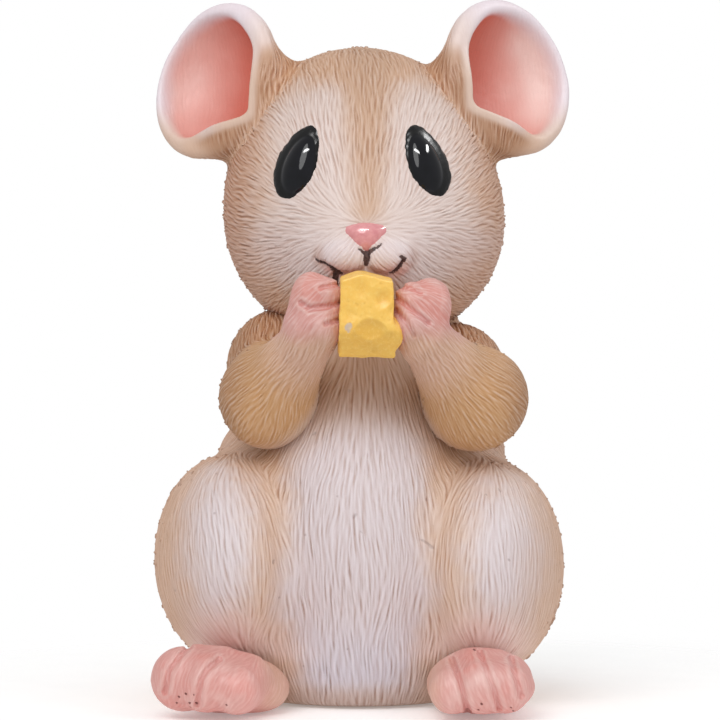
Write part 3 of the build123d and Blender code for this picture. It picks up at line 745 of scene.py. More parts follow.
# ---------------------------------------------------------------- materials
class Mat:
    def __init__(self, name):
        self.m = bpy.data.materials.new(name)
        self.m.use_nodes = True
        self.t = self.m.node_tree
        self.t.nodes.clear()
        self.out = self.t.nodes.new("ShaderNodeOutputMaterial")
        self.b = self.t.nodes.new("ShaderNodeBsdfPrincipled")
        self.t.links.new(self.b.outputs[0], self.out.inputs[0])

    def node(self, kind, **kw):
        n = self.t.nodes.new(kind)
        for k, v in kw.items():
            setattr(n, k, v)
        return n

    def link(self, a, b):
        self.t.links.new(a, b)

    def attr(self, name, colour=False):
        n = self.node("ShaderNodeAttribute", attribute_name=name)
        return n.outputs["Color" if colour else "Fac"]

    def math(self, op, a, b=None, clamp=False):
        n = self.node("ShaderNodeMath", operation=op, use_clamp=clamp)
        for i, v in enumerate((a, b)):
            if v is None:
                continue
            if isinstance(v, (int, float)):
                n.inputs[i].default_value = v
            else:
                self.link(v, n.inputs[i])
        return n.outputs[0]

    def mix(self, fac, a, b, blend="MIX"):
        n = self.node("ShaderNodeMix", data_type="RGBA", blend_type=blend)
        for s, v in ((n.inputs[0], fac), (n.inputs[6], a), (n.inputs[7], b)):
            if isinstance(v, (int, float)):
                s.default_value = v
            elif isinstance(v, (tuple, list, np.ndarray)):
                s.default_value = (*[float(c) for c in v[:3]], 1)
            else:
                self.link(v, s)
        return n.outputs[2]

    def coord(self):
        if not hasattr(self, "_c"):
            self._c = self.node("ShaderNodeTexCoord").outputs["Object"]
        return self._c

    def noise(self, scale, detail=3.0, rough=0.55, stretch=None):
        n = self.node("ShaderNodeTexNoise")
        n.inputs["Scale"].default_value = scale
        n.inputs["Detail"].default_value = detail
        n.inputs["Roughness"].default_value = rough
        src = self.coord()
        if stretch:
            mp = self.node("ShaderNodeMapping")
            mp.inputs["Scale"].default_value = stretch
            self.link(src, mp.inputs[0])
            src = mp.outputs[0]
        self.link(src, n.inputs["Vector"])
        return n.outputs["Fac"]

    def ramp(self, fac, stops):
        n = self.node("ShaderNodeValToRGB")
        e = n.color_ramp.elements
        while len(e) < len(stops):
            e.new(0.5)
        for k, (p, c) in zip(e, stops):
            k.position = p
            k.color = (*[float(v) for v in c], 1) if hasattr(c, "__len__") else (c, c, c, 1)
        self.link(fac, n.inputs[0])
        return n.outputs[0]

    def span(self, fac, a, b, c, d):
        n = self.node("ShaderNodeMapRange")
        self.link(fac, n.inputs[0])
        for i, v in enumerate((a, b, c, d)):
            n.inputs[i + 1].default_value = v
        return n.outputs[0]

    def bump(self, height, strength, distance, normal=None):
        n = self.node("ShaderNodeBump")
        n.inputs["Strength"].default_value = strength
        n.inputs["Distance"].default_value = distance
        self.link(height, n.inputs["Height"])
        if normal is not None:
            self.link(normal, n.inputs["Normal"])
        return n.outputs[0]

    def finish(self, colour, rough, normal=None, spec=0.4, coat=0.0, coat_rough=0.1):
        self.link(colour, self.b.inputs["Base Color"])
        if isinstance(rough, (int, float)):
            self.b.inputs["Roughness"].default_value = rough
        else:
            self.link(rough, self.b.inputs["Roughness"])
        if normal is not None:
            self.link(normal, self.b.inputs["Normal"])
        self.b.inputs["Specular IOR Level"].default_value = spec
        self.b.inputs["Coat Weight"].default_value = coat
        self.b.inputs["Coat Roughness"].default_value = coat_rough
        return self.m


def fur_material(name, groove, ridge, lines=False):
    """Carved strokes under thin paint: darker wash in the grooves, dry pale paint on the ridges."""
    m = Mat(name)
    base = m.attr("paint", True)
    st = m.attr("stroke")
    wash = m.attr("wash")
    fine = m.noise(2600, 4, 0.6)
    patch = m.noise(140, 4, 0.6)
    low = m.math("MULTIPLY", m.math("POWER", m.math("SUBTRACT", 1.0, st, True), 2.0), wash, True)
    c = m.mix(low, base, m.mix(1.0, base, groove, "MULTIPLY"))
    top = m.math("MULTIPLY", m.math("POWER", st, 2.5), ridge, True)
    c = m.mix(top, c, rgb(250, 240, 236))
    c = m.mix(m.span(patch, 0.3, 0.7, 0.0, 0.14), c, m.mix(1.0, c, (0.90, 0.84, 0.78), "MULTIPLY"))
    c = m.mix(m.span(fine, 0.35, 0.7, 0.0, 0.16), c, m.mix(1.0, c, (0.88, 0.85, 0.83), "MULTIPLY"))
    if lines:
        d = m.math("ADD", m.attr("mouth"), m.span(m.noise(2000, 3, 0.6), 0.2, 0.8, -0.24, 0.24))
        ink = m.ramp(m.noise(1500, 3, 0.6), [(0.35, rgb(52, 34, 34)), (0.62, rgb(96, 70, 66))])
        c = m.mix(m.ramp(d, [(0.0, 1.0), (0.38, 1.0), (0.54, 0.0)]), c, ink)
    r = m.span(fine, 0.3, 0.7, 0.52, 0.68)
    n = m.bump(fine, 0.25, 0.00012)
    return m.finish(c, r, n, spec=0.35)


def skin_material(name):
    """Bare paws and feet: satin pink paint, rosier in places, with fine brush lines."""
    m = Mat(name)
    base = m.attr("paint", True)
    st = m.attr("stroke")
    fine = m.noise(2400, 4, 0.6)
    patch = m.noise(230, 4, 0.6)
    c = m.mix(m.span(patch, 0.42, 0.72, 0.0, 0.30), base, m.mix(1.0, base, (1.0, 0.83, 0.80), "MULTIPLY"))
    c = m.mix(m.math("MULTIPLY", m.math("SUBTRACT", 1.0, st, True), 0.12), c, m.mix(1.0, c, (0.84, 0.68, 0.68), "MULTIPLY"))
    c = m.mix(m.math("MULTIPLY", m.math("POWER", st, 2.0), 0.16), c, rgb(250, 224, 218))
    c = m.mix(m.span(fine, 0.35, 0.7, 0.0, 0.12), c, m.mix(1.0, c, (0.88, 0.80, 0.80), "MULTIPLY"))
    c = m.mix(m.ramp(m.attr("pits"), [(0.0, 0.0), (0.4, 0.0), (0.7, 1.0)]), c, rgb(126, 76, 70))
    r = m.span(fine, 0.3, 0.7, 0.44, 0.60)
    return m.finish(c, r, m.bump(fine, 0.22, 0.0001), spec=0.4)


def ear_material(name, groove):
    m = Mat(name)
    base = m.attr("paint", True)
    st = m.attr("stroke")
    wash = m.attr("wash")
    fine = m.noise(2600, 4, 0.6)
    drag = m.noise(420, 4, 0.65, stretch=(1.0, 1.0, 0.28))
    low = m.math("MULTIPLY", m.math("POWER", m.math("SUBTRACT", 1.0, st, True), 1.5), wash)
    c = m.mix(low, base, m.mix(1.0, base, groove, "MULTIPLY"))
    c = m.mix(m.math("MULTIPLY", m.math("POWER", st, 2.5), m.math("MULTIPLY", wash, 0.25)), c, rgb(250, 236, 228))
    c = m.mix(m.span(drag, 0.38, 0.66, 0.0, 0.16), c, m.mix(1.0, c, (0.94, 0.80, 0.80), "MULTIPLY"))
    c = m.mix(m.span(fine, 0.35, 0.7, 0.0, 0.10), c, m.mix(1.0, c, (0.90, 0.86, 0.86), "MULTIPLY"))
    r = m.span(fine, 0.3, 0.7, 0.46, 0.60)
    return m.finish(c, r, m.bump(m.math("ADD", fine, m.math("MULTIPLY", drag, 1.5)), 0.2, 0.0001), spec=0.38)


def plain_material(name, a, b, scale, rough, bump=0.2, dist=0.0001, spec=0.4, stretch=None, coat=0.0):
    m = Mat(name)
    f = m.noise(scale, 5, 0.6, stretch)
    c = m.ramp(f, [(0.3, a), (0.7, b)])
    return m.finish(c, m.span(f, 0.3, 0.7, rough[0], rough[1]), m.bump(f, bump, dist), spec=spec, coat=coat)


# ---------------------------------------------------------------- pieces
def hollow(field, P, e=0.9):
    """Positive in creases, negative on ridges of a shape, about -1 to 1."""
    def one(P):
        t = -6 * field(P)
        for k in range(3):
            for sg in (-1, 1):
                o = np.zeros(3, F)
                o[k] = sg * e
                t += field(P + o)
        return -t / F(e)
    return par(one, P)


def piece(name, field, lo, hi, h, levels, node, slot, mat):
    P0, Q, grid = nets(field, lo, hi, h)
    P0 = relax(field, P0, Q)
    o, P = fine_mesh(name, P0, Q, levels)
    P = settle(field, P, 2)
    o.data.materials.append(mat)
    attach(o, "root")
    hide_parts(node)
    return o, P, grad(field, P), grid


FUR = fur_material("fur_paint", (0.62, 0.46, 0.36), 0.22)
FACE = fur_material("face_paint", (0.62, 0.46, 0.36), 0.18, lines=True)
EARM = ear_material("ear_paint", (0.62, 0.44, 0.32))
SKINM = skin_material("skin_paint")


def down_fan(P):
    t = unit(P - V(0.3, -10, 88))
    w = S(28, 60, P[:, 2])[:, None]
    t = unit(t * w + V(0, 0, -1) * (1 - w))
    for s, src in (("R", V(-29, -8, 70)), ("L", V(29, -8, 72))):
        a = S(2.0, -2.5, sd_haunch(P, s) - sd_core(P))[:, None]
        f = unit(unit(P - src) + V(0.16 if s == "R" else -0.06, 0, -0.30))
        low = S(48, 22, P[:, 2])[:, None]
        f = unit(f * (1 - low) + V(0.22 if s == "R" else 0.05, 0, -1) * low)
        t = unit(t * (1 - a) + f * a)
    return t


def spot(P, x, z, rx, rz, a=1.3, b=0.45):
    """A soft oval seen from the front."""
    r = np.sqrt(((P[:, 0] - x) / rx) ** 2 + ((P[:, 2] - z) / rz) ** 2)
    return S(a, b, r + 0.13 * soft_noise(P, 5.0, 2) + 0.07 * soft_noise(P, 1.6, 1))


# --- body
o, P, n, g = piece("torso_fur", sd_torso, (-52, -44, -2), (52, 46, 102), 1.8, 3, "torso_shell", "fur", FUR)
u = fur(o, flow_of(g, down_fan, 0.20), P, 0.34, 3.4)
x, y, z = P.T
front = S(0.10, -0.45, n[:, 1])
ns = soft_noise(P, 8.0, 0)
col = mix(np.tile(TAN, (len(P), 1)), OCHRE, S(0.1, 1.0, ns) * 0.22)
w = S(20.5, 10.5, np.abs(x + 1.6) + 1.8 * ns + 1.0 * soft_noise(P, 2.2, 1) - 1.5 * S(50, 25, z) + 4.5 * S(26, 8, z)) * S(76, 57, z) * front
w = w * (1 - 0.5 * S(8, 3, z))
for sx, sz, rx, rz in ((-31.5, 38.0, 10.0, 20.0), (31.5, 36.0, 10.0, 20.0)):
    w = np.maximum(w, spot(P, sx, sz, rx, rz, 1.4, 0.25) * front * 0.97)
cream = np.maximum(w, S(0.15, -0.45, n[:, 1]) * (0.46 + 0.16 * S(2, 14, x)) * (1 - 0.65 * S(50, 58, z) * S(12, 22, np.abs(x))))
col = mix(col, CREAM, cream)
col = mix(col, WHITE, w * 0.92)
for sx, sz, rx, rz in ((-28.3, 17.5, 9.0, 6.5), (25.6, 16.5, 10.0, 5.0)):
    col = mix(col, rgb(240, 208, 204), spot(P, sx, sz, rx, rz, 1.6, 0.2) * front * (0.1 if sx < 0 else 0.4))
arms = np.minimum(par(lambda q: sd_arm0(q, "R"), P), par(lambda q: sd_arm0(q, "L"), P))
head_d = par(sd_head0, P)
feet = np.minimum(par(lambda q: sd_foot0(q, "R"), P), par(lambda q: sd_foot0(q, "L"), P))
# painted shade: ochre and brown darkening on the body where the arms lie against it and under the head
col = mix(col, OCHRE, S(9, 1.0, arms) * 0.30 * S(80, 66, z))
col = mix(col, BROWN, S(2.4, 0.2, arms) * 0.12)
col = mix(col, BROWN, S(4.0, 0.2, head_d) * 0.40)
col = mix(col, OCHRE, S(60, 74, z) * front * 0.40)
col = mix(col, rgb(246, 226, 220), S(11.0, 1.0, feet) * (0.85 - 0.20 * S(-4, 4, x)) * S(9, 14, z))
# partly a painted wash, partly painted shade: ochre darkening in the body's hollows and creases
hol = hollow(sd_body, P, 2.2)
col = mix(col, OCHRE, S(-0.1, 0.55, hol) * 0.22 * (1 - 0.6 * w) * S(2, 7, feet))
col = mix(col, mix(BROWN[None], TAN[None], 0.5)[0], S(6.5, 0.8, z) * 0.50)
col = mix(col, RUST, S(0.30, -0.05, -n[:, 1]) * S(-0.6, 0.1, n[:, 1]) * S(20, 30, np.abs(x)) * 0.16)
col = col * (1 - (w * 0.9)[:, None] * V(0.06, 0.03, 0.0)) * (1 - (S(26, 8, z) * front * S(20, 10, np.abs(x)))[:, None] * V(0.12, 0.07, 0.0))
# partly the flanks' darker paint, partly painted shade: rust-ochre where the surface turns sideways, away from the
# front
edge = S(0.35, 0.95, np.abs(n[:, 0])) * S(4, 12, z)
col = mix(col, mix(RUST[None], OCHRE[None], 0.5)[0], edge * 0.22)
haunch = np.maximum(S(2, -2, par(lambda q: sd_haunch(q, "R"), P) - par(sd_core, P)), S(2, -2, par(lambda q: sd_haunch(q, "L"), P) - par(sd_core, P)))
depth = (0.84 + 0.18 * (1 - w) + 0.25 * edge) * (0.55 + 0.45 * S(0.5, 6, feet)) * (1 - 0.25 * haunch)
amp = (0.132 + 0.03 * edge) * (1 - 0.2 * haunch) * (0.75 + 0.5 * S(-0.6, 0.8, ns)) * S(0.8, 2.6, z)
b = burrs(P, n) * S(1.2, 4.0, z)
pin = S(0.9, 0.93, noise(P, 1.6, 2)) * S(0.62, 0.75, noise(P, 5.0, 1)) * front
put(o, P + n * (relief(u) * amp + b * 0.34 - 0.12 * pin)[:, None])
attr(o, "paint", mix(mix(col, rgb(134, 98, 82), b * 0.45), rgb(110, 80, 72), pin * 0.35))
attr(o, "stroke", np.clip(0.52 + 0.28 * u, 0, 1))
attr(o, "wash", depth)


# --- head
def head_flow(P):
    low = unit(P - V(0.8, -30, 107.5))
    up = unit((P - V(0.8, -30, 92.0)) * V(1, 1, 1.15))
    w = (S(108, 120, P[:, 2]) * S(20, 6, np.abs(P[:, 0] - 0.8)))[:, None]
    t = unit(low * (1 - w) + up * w)
    w = S(2, 24, P[:, 1])[:, None]
    t = unit(t * (1 - w) + V(0, 0.25, -1) * w)
    for s in "RL":
        _, r, _ = ear_parts(P, s)
        _, a, b, _ = ear_frame(s)
        k = (S(3.5, -1.5, r) * S(8, -4, P[:, 1]) * S(132, 139, P[:, 2]))[:, None] * F(0.8)
        t = unit(t * (1 - k) + b.astype(F) * k)
    return t


# painted mouth: chains of (x, y, half width) in the 720 front view
MOUTH = [
    [(359.5, 249.0, 1.0), (363.0, 251.5, 1.8), (366.8, 254.5, 2.8)],
    [(382.0, 243.5, 0.8), (377.0, 247.0, 1.5), (371.5, 250.0, 1.9), (367.5, 254.0, 2.6)],
    [(367.2, 251.5, 3.4), (366.4, 260.0, 3.0), (366.0, 266.5, 2.0)],
    [(313.5, 257.5, 0.4), (319.5, 263.0, 1.6), (325.5, 267.0, 1.1), (330.5, 270.0, 2.3), (336.5, 274.5, 3.4), (340.5, 276.5, 1.4)],
    [(333.0, 271.0, 2.0), (335.0, 279.0, 3.2), (336.5, 288.0, 1.4)],
    [(401.5, 256.5, 1.4), (405.0, 259.0, 2.3), (403.6, 264.0, 1.8), (400.5, 269.5, 1.8), (396.5, 273.5, 1.5), (391.0, 276.5, 0.9)],
]
FOLDS = [
    [(366.5, 250.0, 0), (366.2, 268.0, 0)],
    [(322.0, 265.0, 0), (336.0, 275.0, 0), (349.0, 277.5, 0), (360.0, 273.0, 0), (366.0, 268.0, 0)],
    [(366.0, 268.0, 0), (374.0, 274.5, 0), (384.0, 277.5, 0), (395.0, 274.5, 0), (403.0, 265.0, 0)],
]


o, P, n, g = piece("head_fur", sd_head, (-36, -38, 82), (38, 34, 153), 1.6, 3, "head_shell", "fur", FACE)
u = fur(o, flow_of(g, head_flow, 0.24), P, 0.30, 2.4)
x, y, z = P.T
on = (y < -18) & (n[:, 1] < 0.1)
mouth = np.full(len(P), 9.0, F)
fold = np.full(len(P), 9.0, F)
for ch in MOUTH:
    mouth[on] = np.minimum(mouth[on], drawn(P[on], ch))
for ch in FOLDS:
    fold[on] = np.minimum(fold[on], drawn(P[on], ch))
front = S(0.25, -0.30, n[:, 1])
ns = soft_noise(P, 7.0, 0)
col = mix(np.tile(TAN, (len(P), 1)), OCHRE, S(0.0, 1.0, ns) * 0.22)
w = np.zeros(len(P), F)
for sx, sz, rx, rz, k in ((-10.5, 117, 12.5, 17, 1.0), (-10.8, 131, 10.5, 10, 0.85), (12.8, 117, 13, 17, 1.0), (12.8, 131, 10.5, 10, 0.85),
                          (-10, 104, 18, 10, 1.0), (13, 104, 19, 11, 1.0)):
    w = 1 - (1 - w) * (1 - k * spot(P, sx, sz, rx, rz, 1.5, 0.4))
half = np.interp(z, [106, 112, 122, 131, 138, 142], [1.8, 3.0, 4.0, 4.4, 4.6, 5.0])
stripe = S(half + 4.2, half - 3.4, np.abs(x - 1.4) + 0.5 * soft_noise(P, 2.4, 1)) * S(105, 112, z)
w = w * (1 - (0.92 + 0.08 * S(124, 136, z)) * stripe) * front
col = mix(col, CREAM, np.maximum(w, 0.22 * front * (1 - stripe) * S(146, 134, z)))
col = mix(col, WHITE, w * (0.42 + 0.20 * S(112, 104, z)))
pads = np.minimum(ell(P, (-3.3, -30.6, 101.4), (5.9, 4.6, 4.4)), ell(P, (5.3, -30.6, 101.4), (5.9, 4.6, 4.4)))
padm = S(1.2, 0.2, pads) * S(-26, -30, y)
col = mix(col, WHITE, padm * S(98.5, 102, z) * 0.6)
col = mix(col, BLUSH, padm * S(101.0, 97.8, z) * 0.85)
side = S(12, 30, np.abs(x - 0.6) + 0.35 * np.maximum(y, -20) + 2.0 * ns) * S(30, 0, y)
# partly rust paint, partly painted shade: darker where the head turns sideways, stronger on the -x side
col = mix(col, RUST, S(0.55, 0.98, np.abs(n[:, 0])) * (0.66 - 0.26 * S(0, 20, x)) * S(28, -6, y))
col = mix(col, mix(RUST[None], TAN[None], 0.4)[0], S(112, 92, z) * S(13, 27, np.abs(x - 0.5)) * (0.55 + 0.15 * S(0, 10, x)))
ear_crease_shade = np.zeros(len(P), F)
rootm = np.zeros(len(P), F)
under = np.zeros(len(P), F)                # the strip that lies below an ear's cup
for s in "RL":
    oo, r, i = ear_parts(P, s)
    under = np.maximum(under, S(1.6, 0.6, i))
    gg = smin(sd_head0(P), r, 3.4)
    ear_crease_shade = np.maximum(ear_crease_shade, S(4.5, 0.0, np.abs(gg - oo)) * S(5.0, 1.0, oo) * S(0.5, 2.0, i))
    rootm = np.maximum(rootm, S(5.0, -2.0, r))
col = mix(col, rgb(190, 138, 94), rootm * 0.90) * (1 - 0.11 * stripe * front)[:, None]
col = col * (1 - 0.09 * S(126, 142, z))[:, None]
# painted shade: brown in the crease where each ear meets the head and its root
col = mix(col, BROWN, ear_crease_shade * 0.42)
# painted shade: darker brown-rose on the face next to the paws and cheese, and brown under the chin where it meets the
# body
hands = np.minimum(np.minimum(par(lambda q: sd_arm0(q, "R"), P), par(lambda q: sd_arm0(q, "L"), P)), par(sd_cheese, P))
col = mix(col, mix(BROWN[None], ROSE[None], 0.4)[0], S(2.2, 0.1, hands) * 0.45)
col = mix(col, BROWN, S(5.5, 0.3, par(sd_body, P)) * 0.55)
# painted shade: brown-pink darkening along the carved folds under the muzzle
col = mix(col, mix(BROWN[None], BLUSH[None], 0.5)[0], S(0.7, 0.0, fold) * 0.55)
eyes = np.minimum(par(lambda q: sd_eye(q, "R"), P), par(lambda q: sd_eye(q, "L"), P))
nosed = np.sqrt((x - 0.8) ** 2 + (z - 105) ** 2)
depth = (0.50 + 0.08 * (1 - w)) * (1 - 0.5 * S(20, 7, nosed) * front) + 0.20 * np.maximum(rootm, ear_crease_shade) + 0.24 * S(0.5, 0.95, np.abs(n[:, 0]))
amp = 0.085 * (0.8 + 0.4 * S(-0.6, 0.8, ns)) * (1 - 0.6 * S(20, 7, nosed) * front)
amp = amp * S(-0.2, 0.9, eyes) * (1 - under) + 0.02
amp = amp * (1 + 0.3 * np.maximum(rootm, ear_crease_shade))
b = burrs(P, n) * (1 - under)
cut = -0.4 * under - 0.22 * S(0.45, -0.1, mouth) - 0.75 * S(1.5, 0.0, fold) * S(-24, -28, y)
put(o, P + n * (relief(u) * amp + b * 0.34 + cut)[:, None])
attr(o, "paint", mix(col, rgb(134, 98, 82), b * 0.45))
attr(o, "stroke", np.clip(0.52 + 0.28 * u, 0, 1))
attr(o, "wash", depth)
attr(o, "mouth", mouth + 0.46)


# --- ears
def ear_piece(s, side, box):
    fld = lambda P: sd_ear(P, s)
    o, P, n, g = piece("ear_%s_cast" % side, fld, *box, 0.85, 2, "ear_" + side, "ear", EARM)
    _, A, B, N = ear_frame(s)

    def along(P):
        t = unit(B.astype(F) + 0.6 * unit(P - V(0.8, -30, 106.5)))
        return t

    u = fur(o, flow_of(g, along, 0.20), P, 0.30, 2.6)
    q = ear_local(P, s)
    oo, r, i = ear_parts(P, s)
    inn = q[:, 0] * (1 if s == "R" else -1) / EAR[s]["a"]
    up = q[:, 1] / EAR[s]["b"]
    depthq = q[:, 2]
    ns = soft_noise(P, 6.0, 0)
    inside = S(1.5, 0.5, i) * S(-16, -12, depthq)
    # back and outside
    lowin = np.maximum(S(0.15, 0.85, inn - 0.25 * up), S(-0.45, -0.95, up))
    col = mix(np.tile(LAV, (len(P), 1)), CREAM, np.maximum(lowin, S(0.0, 0.6, inn) * 0.6) * 0.95)
    col = mix(col, TAN, np.maximum(S(-0.40, -0.85, up) * S(-0.5, 0.2, inn), lowin * (0.65 if s == "R" else 0.4)) * 0.7)
    col = mix(col, TAN, S(-1.8, -6.5, depthq) * 0.9)
    col = mix(col, TAN, lowin * S(0.6, -2.6, depthq) * 0.9)
    near = S(-5.0, -0.8, ear_split(P, s)) * S(1.4, 3.0, i)
    col = mix(col, TAN, near * 0.85)
    rootm = S(3.6, 0.0, r)
    col = mix(col, rgb(190, 138, 94) if s == "R" else rgb(180, 128, 84), rootm * 0.92 * S(1.4, 3.2, i))
    gg = smin(sd_head0(P), r, 3.4)
    ear_crease_shade = S(4.0, 0.0, np.abs(gg - oo)) * S(5.0, 1.0, oo) * S(0.8, 2.5, i)
    # painted shade: brown in the crease between the ear's cup and the head
    col = mix(col, BROWN, ear_crease_shade * 0.30 * S(6, 0, P[:, 1]))
    # the cup
    reach = 0.9 + 0.7 * S(0.3, 1.0, up) + 3.8 * S(0.20, -0.8, inn)
    t = S(0.0, 1.0, (1.45 - depthq + 0.35 * ns) / reach)
    # partly deeper coral paint, partly painted shade: the cup darkens toward its inner wall by the head
    deep_coral_shade = S(-0.70, 0.45, inn + 0.30 * up + 0.1 * ns) * 0.97
    far = -1.2 if s == "R" else -0.8
    red = rgb(206, 104, 86) if s == "R" else CORAL
    cup = mix(mix(np.tile(PALE, (len(P), 1)), SALMON, S(far, far + 0.8, inn + 0.2 * up + 0.15 * ns)), red, deep_coral_shade)
    col = mix(col, cup, t * inside)
    furry = S(1.6, 3.6, i) * S(0.8, -1.6, depthq) * np.maximum(S(0.35, 0.85, inn), S(-0.45, -0.95, up) * S(-0.2, 0.4, inn + 0.1))
    furry = np.maximum(furry, S(-4.0, -8.0, depthq) * S(1.6, 3.6, i) * 0.8)
    furry = np.maximum(furry, S(2.0, 0.2, r) * S(1.8, 3.4, i))
    furry = np.maximum(furry, near)
    b = burrs(P, n) * furry
    soft = 0.035 * soft_noise(P, 1.7, 3) + 0.06 * soft_noise(P, 5.0, 2)
    put(o, P + n * (relief(u) * (0.012 + 0.10 * furry) + soft + b * 0.3)[:, None])
    attr(o, "paint", mix(col, rgb(120, 84, 70), b * 0.7))
    attr(o, "stroke", np.clip(0.52 + 0.30 * u, 0, 1))
    attr(o, "wash", 0.05 + 0.85 * furry)
    return o


ear_piece("R", "right", ((-52, -14, 120), (-10, 18, 164)))
ear_piece("L", "left", ((12, -14, 120), (53, 18, 164)))


# --- arms
def arm_piece(s, side, box):
    fld = lambda P: sd_arm(P, s)
    o, P, n, g = piece("arm_%s_fur" % side, fld, *box, 0.8, 2, "arm_" + side, "fur", FUR)
    A = ARM[s]
    e, wr = V(*A["cone"][0]), V(*A["cone"][1])
    sh = V(*A["up"][0])

    def along(P):
        k = S(-3.0, 3.0, ell(P, *A["up"]) - smin(ell(P, *A["el"]), cap(P, *A["cone"]), 4.0))[:, None]
        return unit(unit((wr - e)[None]) * k + unit((e - sh)[None] + V(0, 0, -8)) * (1 - k))

    u = fur(o, flow_of(g, along, 0.26), P, 0.30, 2.2)
    x, y, z = P.T
    ns = soft_noise(P, 6.0, 0)
    ax = (wr - e) / np.linalg.norm(wr - e)
    t = (P - e) @ ax / F(np.linalg.norm(wr - e))
    col = mix(np.tile(rgb(202, 154, 106), (len(P), 1)), OCHRE, S(-0.8, 0.9, ns) * 0.7)
    inner = (x - 0.5) * (1 if s == "R" else -1)
    belly = S(3.5, 0.8, sd_body(P)) * S(76, 66, z)
    col = mix(col, CREAM, S(0.3, 0.9, t) * 0.30 + belly * 0.35)
    upper = S(3.0, -2.0, ell(P, *A["up"]) - smin(ell(P, *A["el"]), cap(P, *A["cone"]), 4.0))
    col = mix(col, RUST, upper * 0.45)
    # painted shade: brown-ochre on the outward-facing side of the arm, toward the shoulder
    col = mix(col, mix(BROWN[None], OCHRE[None], 0.4)[0], S(0.35, 0.92, -n[:, 0] * (1 if s == "R" else -1)) * S(0.7, 0.1, t) * 0.92)
    pink = S(81.5, 87.5, z + 1.0 * ns) * S(0.3, 0.7, t)
    col = mix(col, BLUSH, S(0.35, 0.9, t) * 0.30)
    col = mix(col, SKIN, pink)
    hol = hollow(lambda q: sd_arm0(q, s), P, 0.9)
    # partly a painted wash, partly painted shade: darker in the arm's hollows and the finger creases
    col = mix(col, mix(BROWN[None], rgb(204, 136, 136)[None], pink), np.maximum(S(0.02, 0.40, hol), 0.8 * crease(P, HAND_LINES[s])) * 0.40)
    tip = S(2.5, -0.5, cap(P, *A["fing"][0]))
    col = mix(col, rgb(232, 140, 124), tip * pink * 0.45)
    # painted shade: a mauve shadow line on the paws where they touch the cheese
    col = mix(col, rgb(196, 132, 140), S(1.3, 0.0, par(sd_cheese, P)) * 0.7)
    col = mix(col, PALE, S(-0.05, -0.5, hol) * pink * 0.35)
    # painted shade: brown where the arm sits under the head
    col = mix(col, BROWN, S(3.0, 0.3, sd_head0(P)) * 0.5 * (1 - 0.6 * pink))
    col = mix(col, CREAM, S(6.0, 1.0, sd_body(P)) * 0.45 * S(76, 68, z) * S(0.9, 0.5, t))
    amp = (0.060 + 0.090 * upper) * (1 - 0.70 * pink)
    b = burrs(P, n) * (1 - pink)
    col = col * (1 - 0.12 * pink)[:, None]
    lumps = pink * (0.10 * soft_noise(P, 2.6, 3) + 0.05 * soft_noise(P, 1.2, 2))
    put(o, P + n * (relief(u) * amp + lumps + b * 0.3)[:, None])
    attr(o, "paint", mix(col, rgb(134, 98, 82), b * 0.6))
    attr(o, "stroke", np.clip(0.52 + 0.30 * u, 0, 1))
    attr(o, "wash", (0.30 + 0.75 * upper) * (1 - 0.75 * pink))
    return o


arm_piece("R", "right", ((-36, -48, 54), (-2, 13, 102)))
arm_piece("L", "left", ((3, -48, 54), (41, 13, 102)))


# --- feet
def foot_piece(s, side, box):
    fld = lambda P: sd_foot(P, s)
    o, P, n, g = piece("foot_%s_skin" % side, fld, *box, 0.8, 2, "foot_" + side, "skin", SKINM)
    run = V(-0.40, -0.30, -0.85) if s == "R" else V(0.25, -0.30, -0.90)
    u = fur(o, flow_of(g, lambda P: np.tile(run, (len(P), 1)), 0.3), P, 0.34, 1.6)
    x, y, z = P.T
    ns = soft_noise(P, 5.0, 0)
    col = mix(np.tile(SKIN, (len(P), 1)), ROSE, S(0.0, 1.0, ns) * 0.6)
    col = mix(col, PALE, S(-0.1, -1.0, ns) * 0.45)
    hol = hollow(lambda q: sd_foot0(q, s), P, 0.9)
    cr = crease(P, CREASES[s])
    # partly a painted wash, partly painted shade: darker rose in the foot's hollows and toe creases
    col = mix(col, rgb(212, 148, 144), np.maximum(S(0.03, 0.45, hol) * 0.4, cr * cr) * 0.32)
    inn = (x + 26) if s == "R" else (23 - x)
    col = mix(col, mix(TAN[None], BLUSH[None], 0.35)[0], S(0, 8, inn + 2.0 * ns + 0.25 * (y + 40)) * 0.9)
    col = mix(col, PALE, S(-0.1, -0.55, hol) * 0.35)
    # painted shade: brown where the foot meets the body
    col = mix(col, BROWN, S(2.0, 0.1, sd_body(P)) * 0.45)
    col = mix(col, ROSE * 0.8, S(3.0, 0.6, z) * 0.5) * F(0.90)
    spots = ([(178, 697, 0.7), (189, 703, 0.8), (196, 703, 0.7), (185, 694, 0.35), (193, 695, 0.35), (176, 703, 0.5), (226, 705, 0.7), (190, 707, 0.35)] if s == "R"
             else [(481, 704, 0.9), (478, 710, 0.4), (511, 708, 0.7), (513, 711, 0.5), (474, 649, 1.1)])
    pits = np.zeros(len(P), F)
    for a, b, c in spots:
        rr = drawn(P, [(a, b, 0), (a + 0.8, b + 0.5, 0)]) + 0.12 * soft_noise(P, 0.9, 1)
        pits = np.maximum(pits, S(0.30 * c + 0.10, 0.05, rr + 0.10 * soft_noise(P, 0.6, 2)) * S(0.3, -0.1, n[:, 1]))
    put(o, P + n * (relief(u) * 0.026 + 0.07 * soft_noise(P, 3.2, 0) + 0.05 * soft_noise(P, 2.0, 2) - 0.22 * pits)[:, None])
    attr(o, "paint", col)
    attr(o, "stroke", np.clip(0.52 + 0.30 * u, 0, 1))
    attr(o, "pits", pits)
    return o


foot_piece("R", "right", ((-53, -61, -1), (-12, -15, 20)))
foot_piece("L", "left", ((10, -61, -1), (42, -15, 20)))

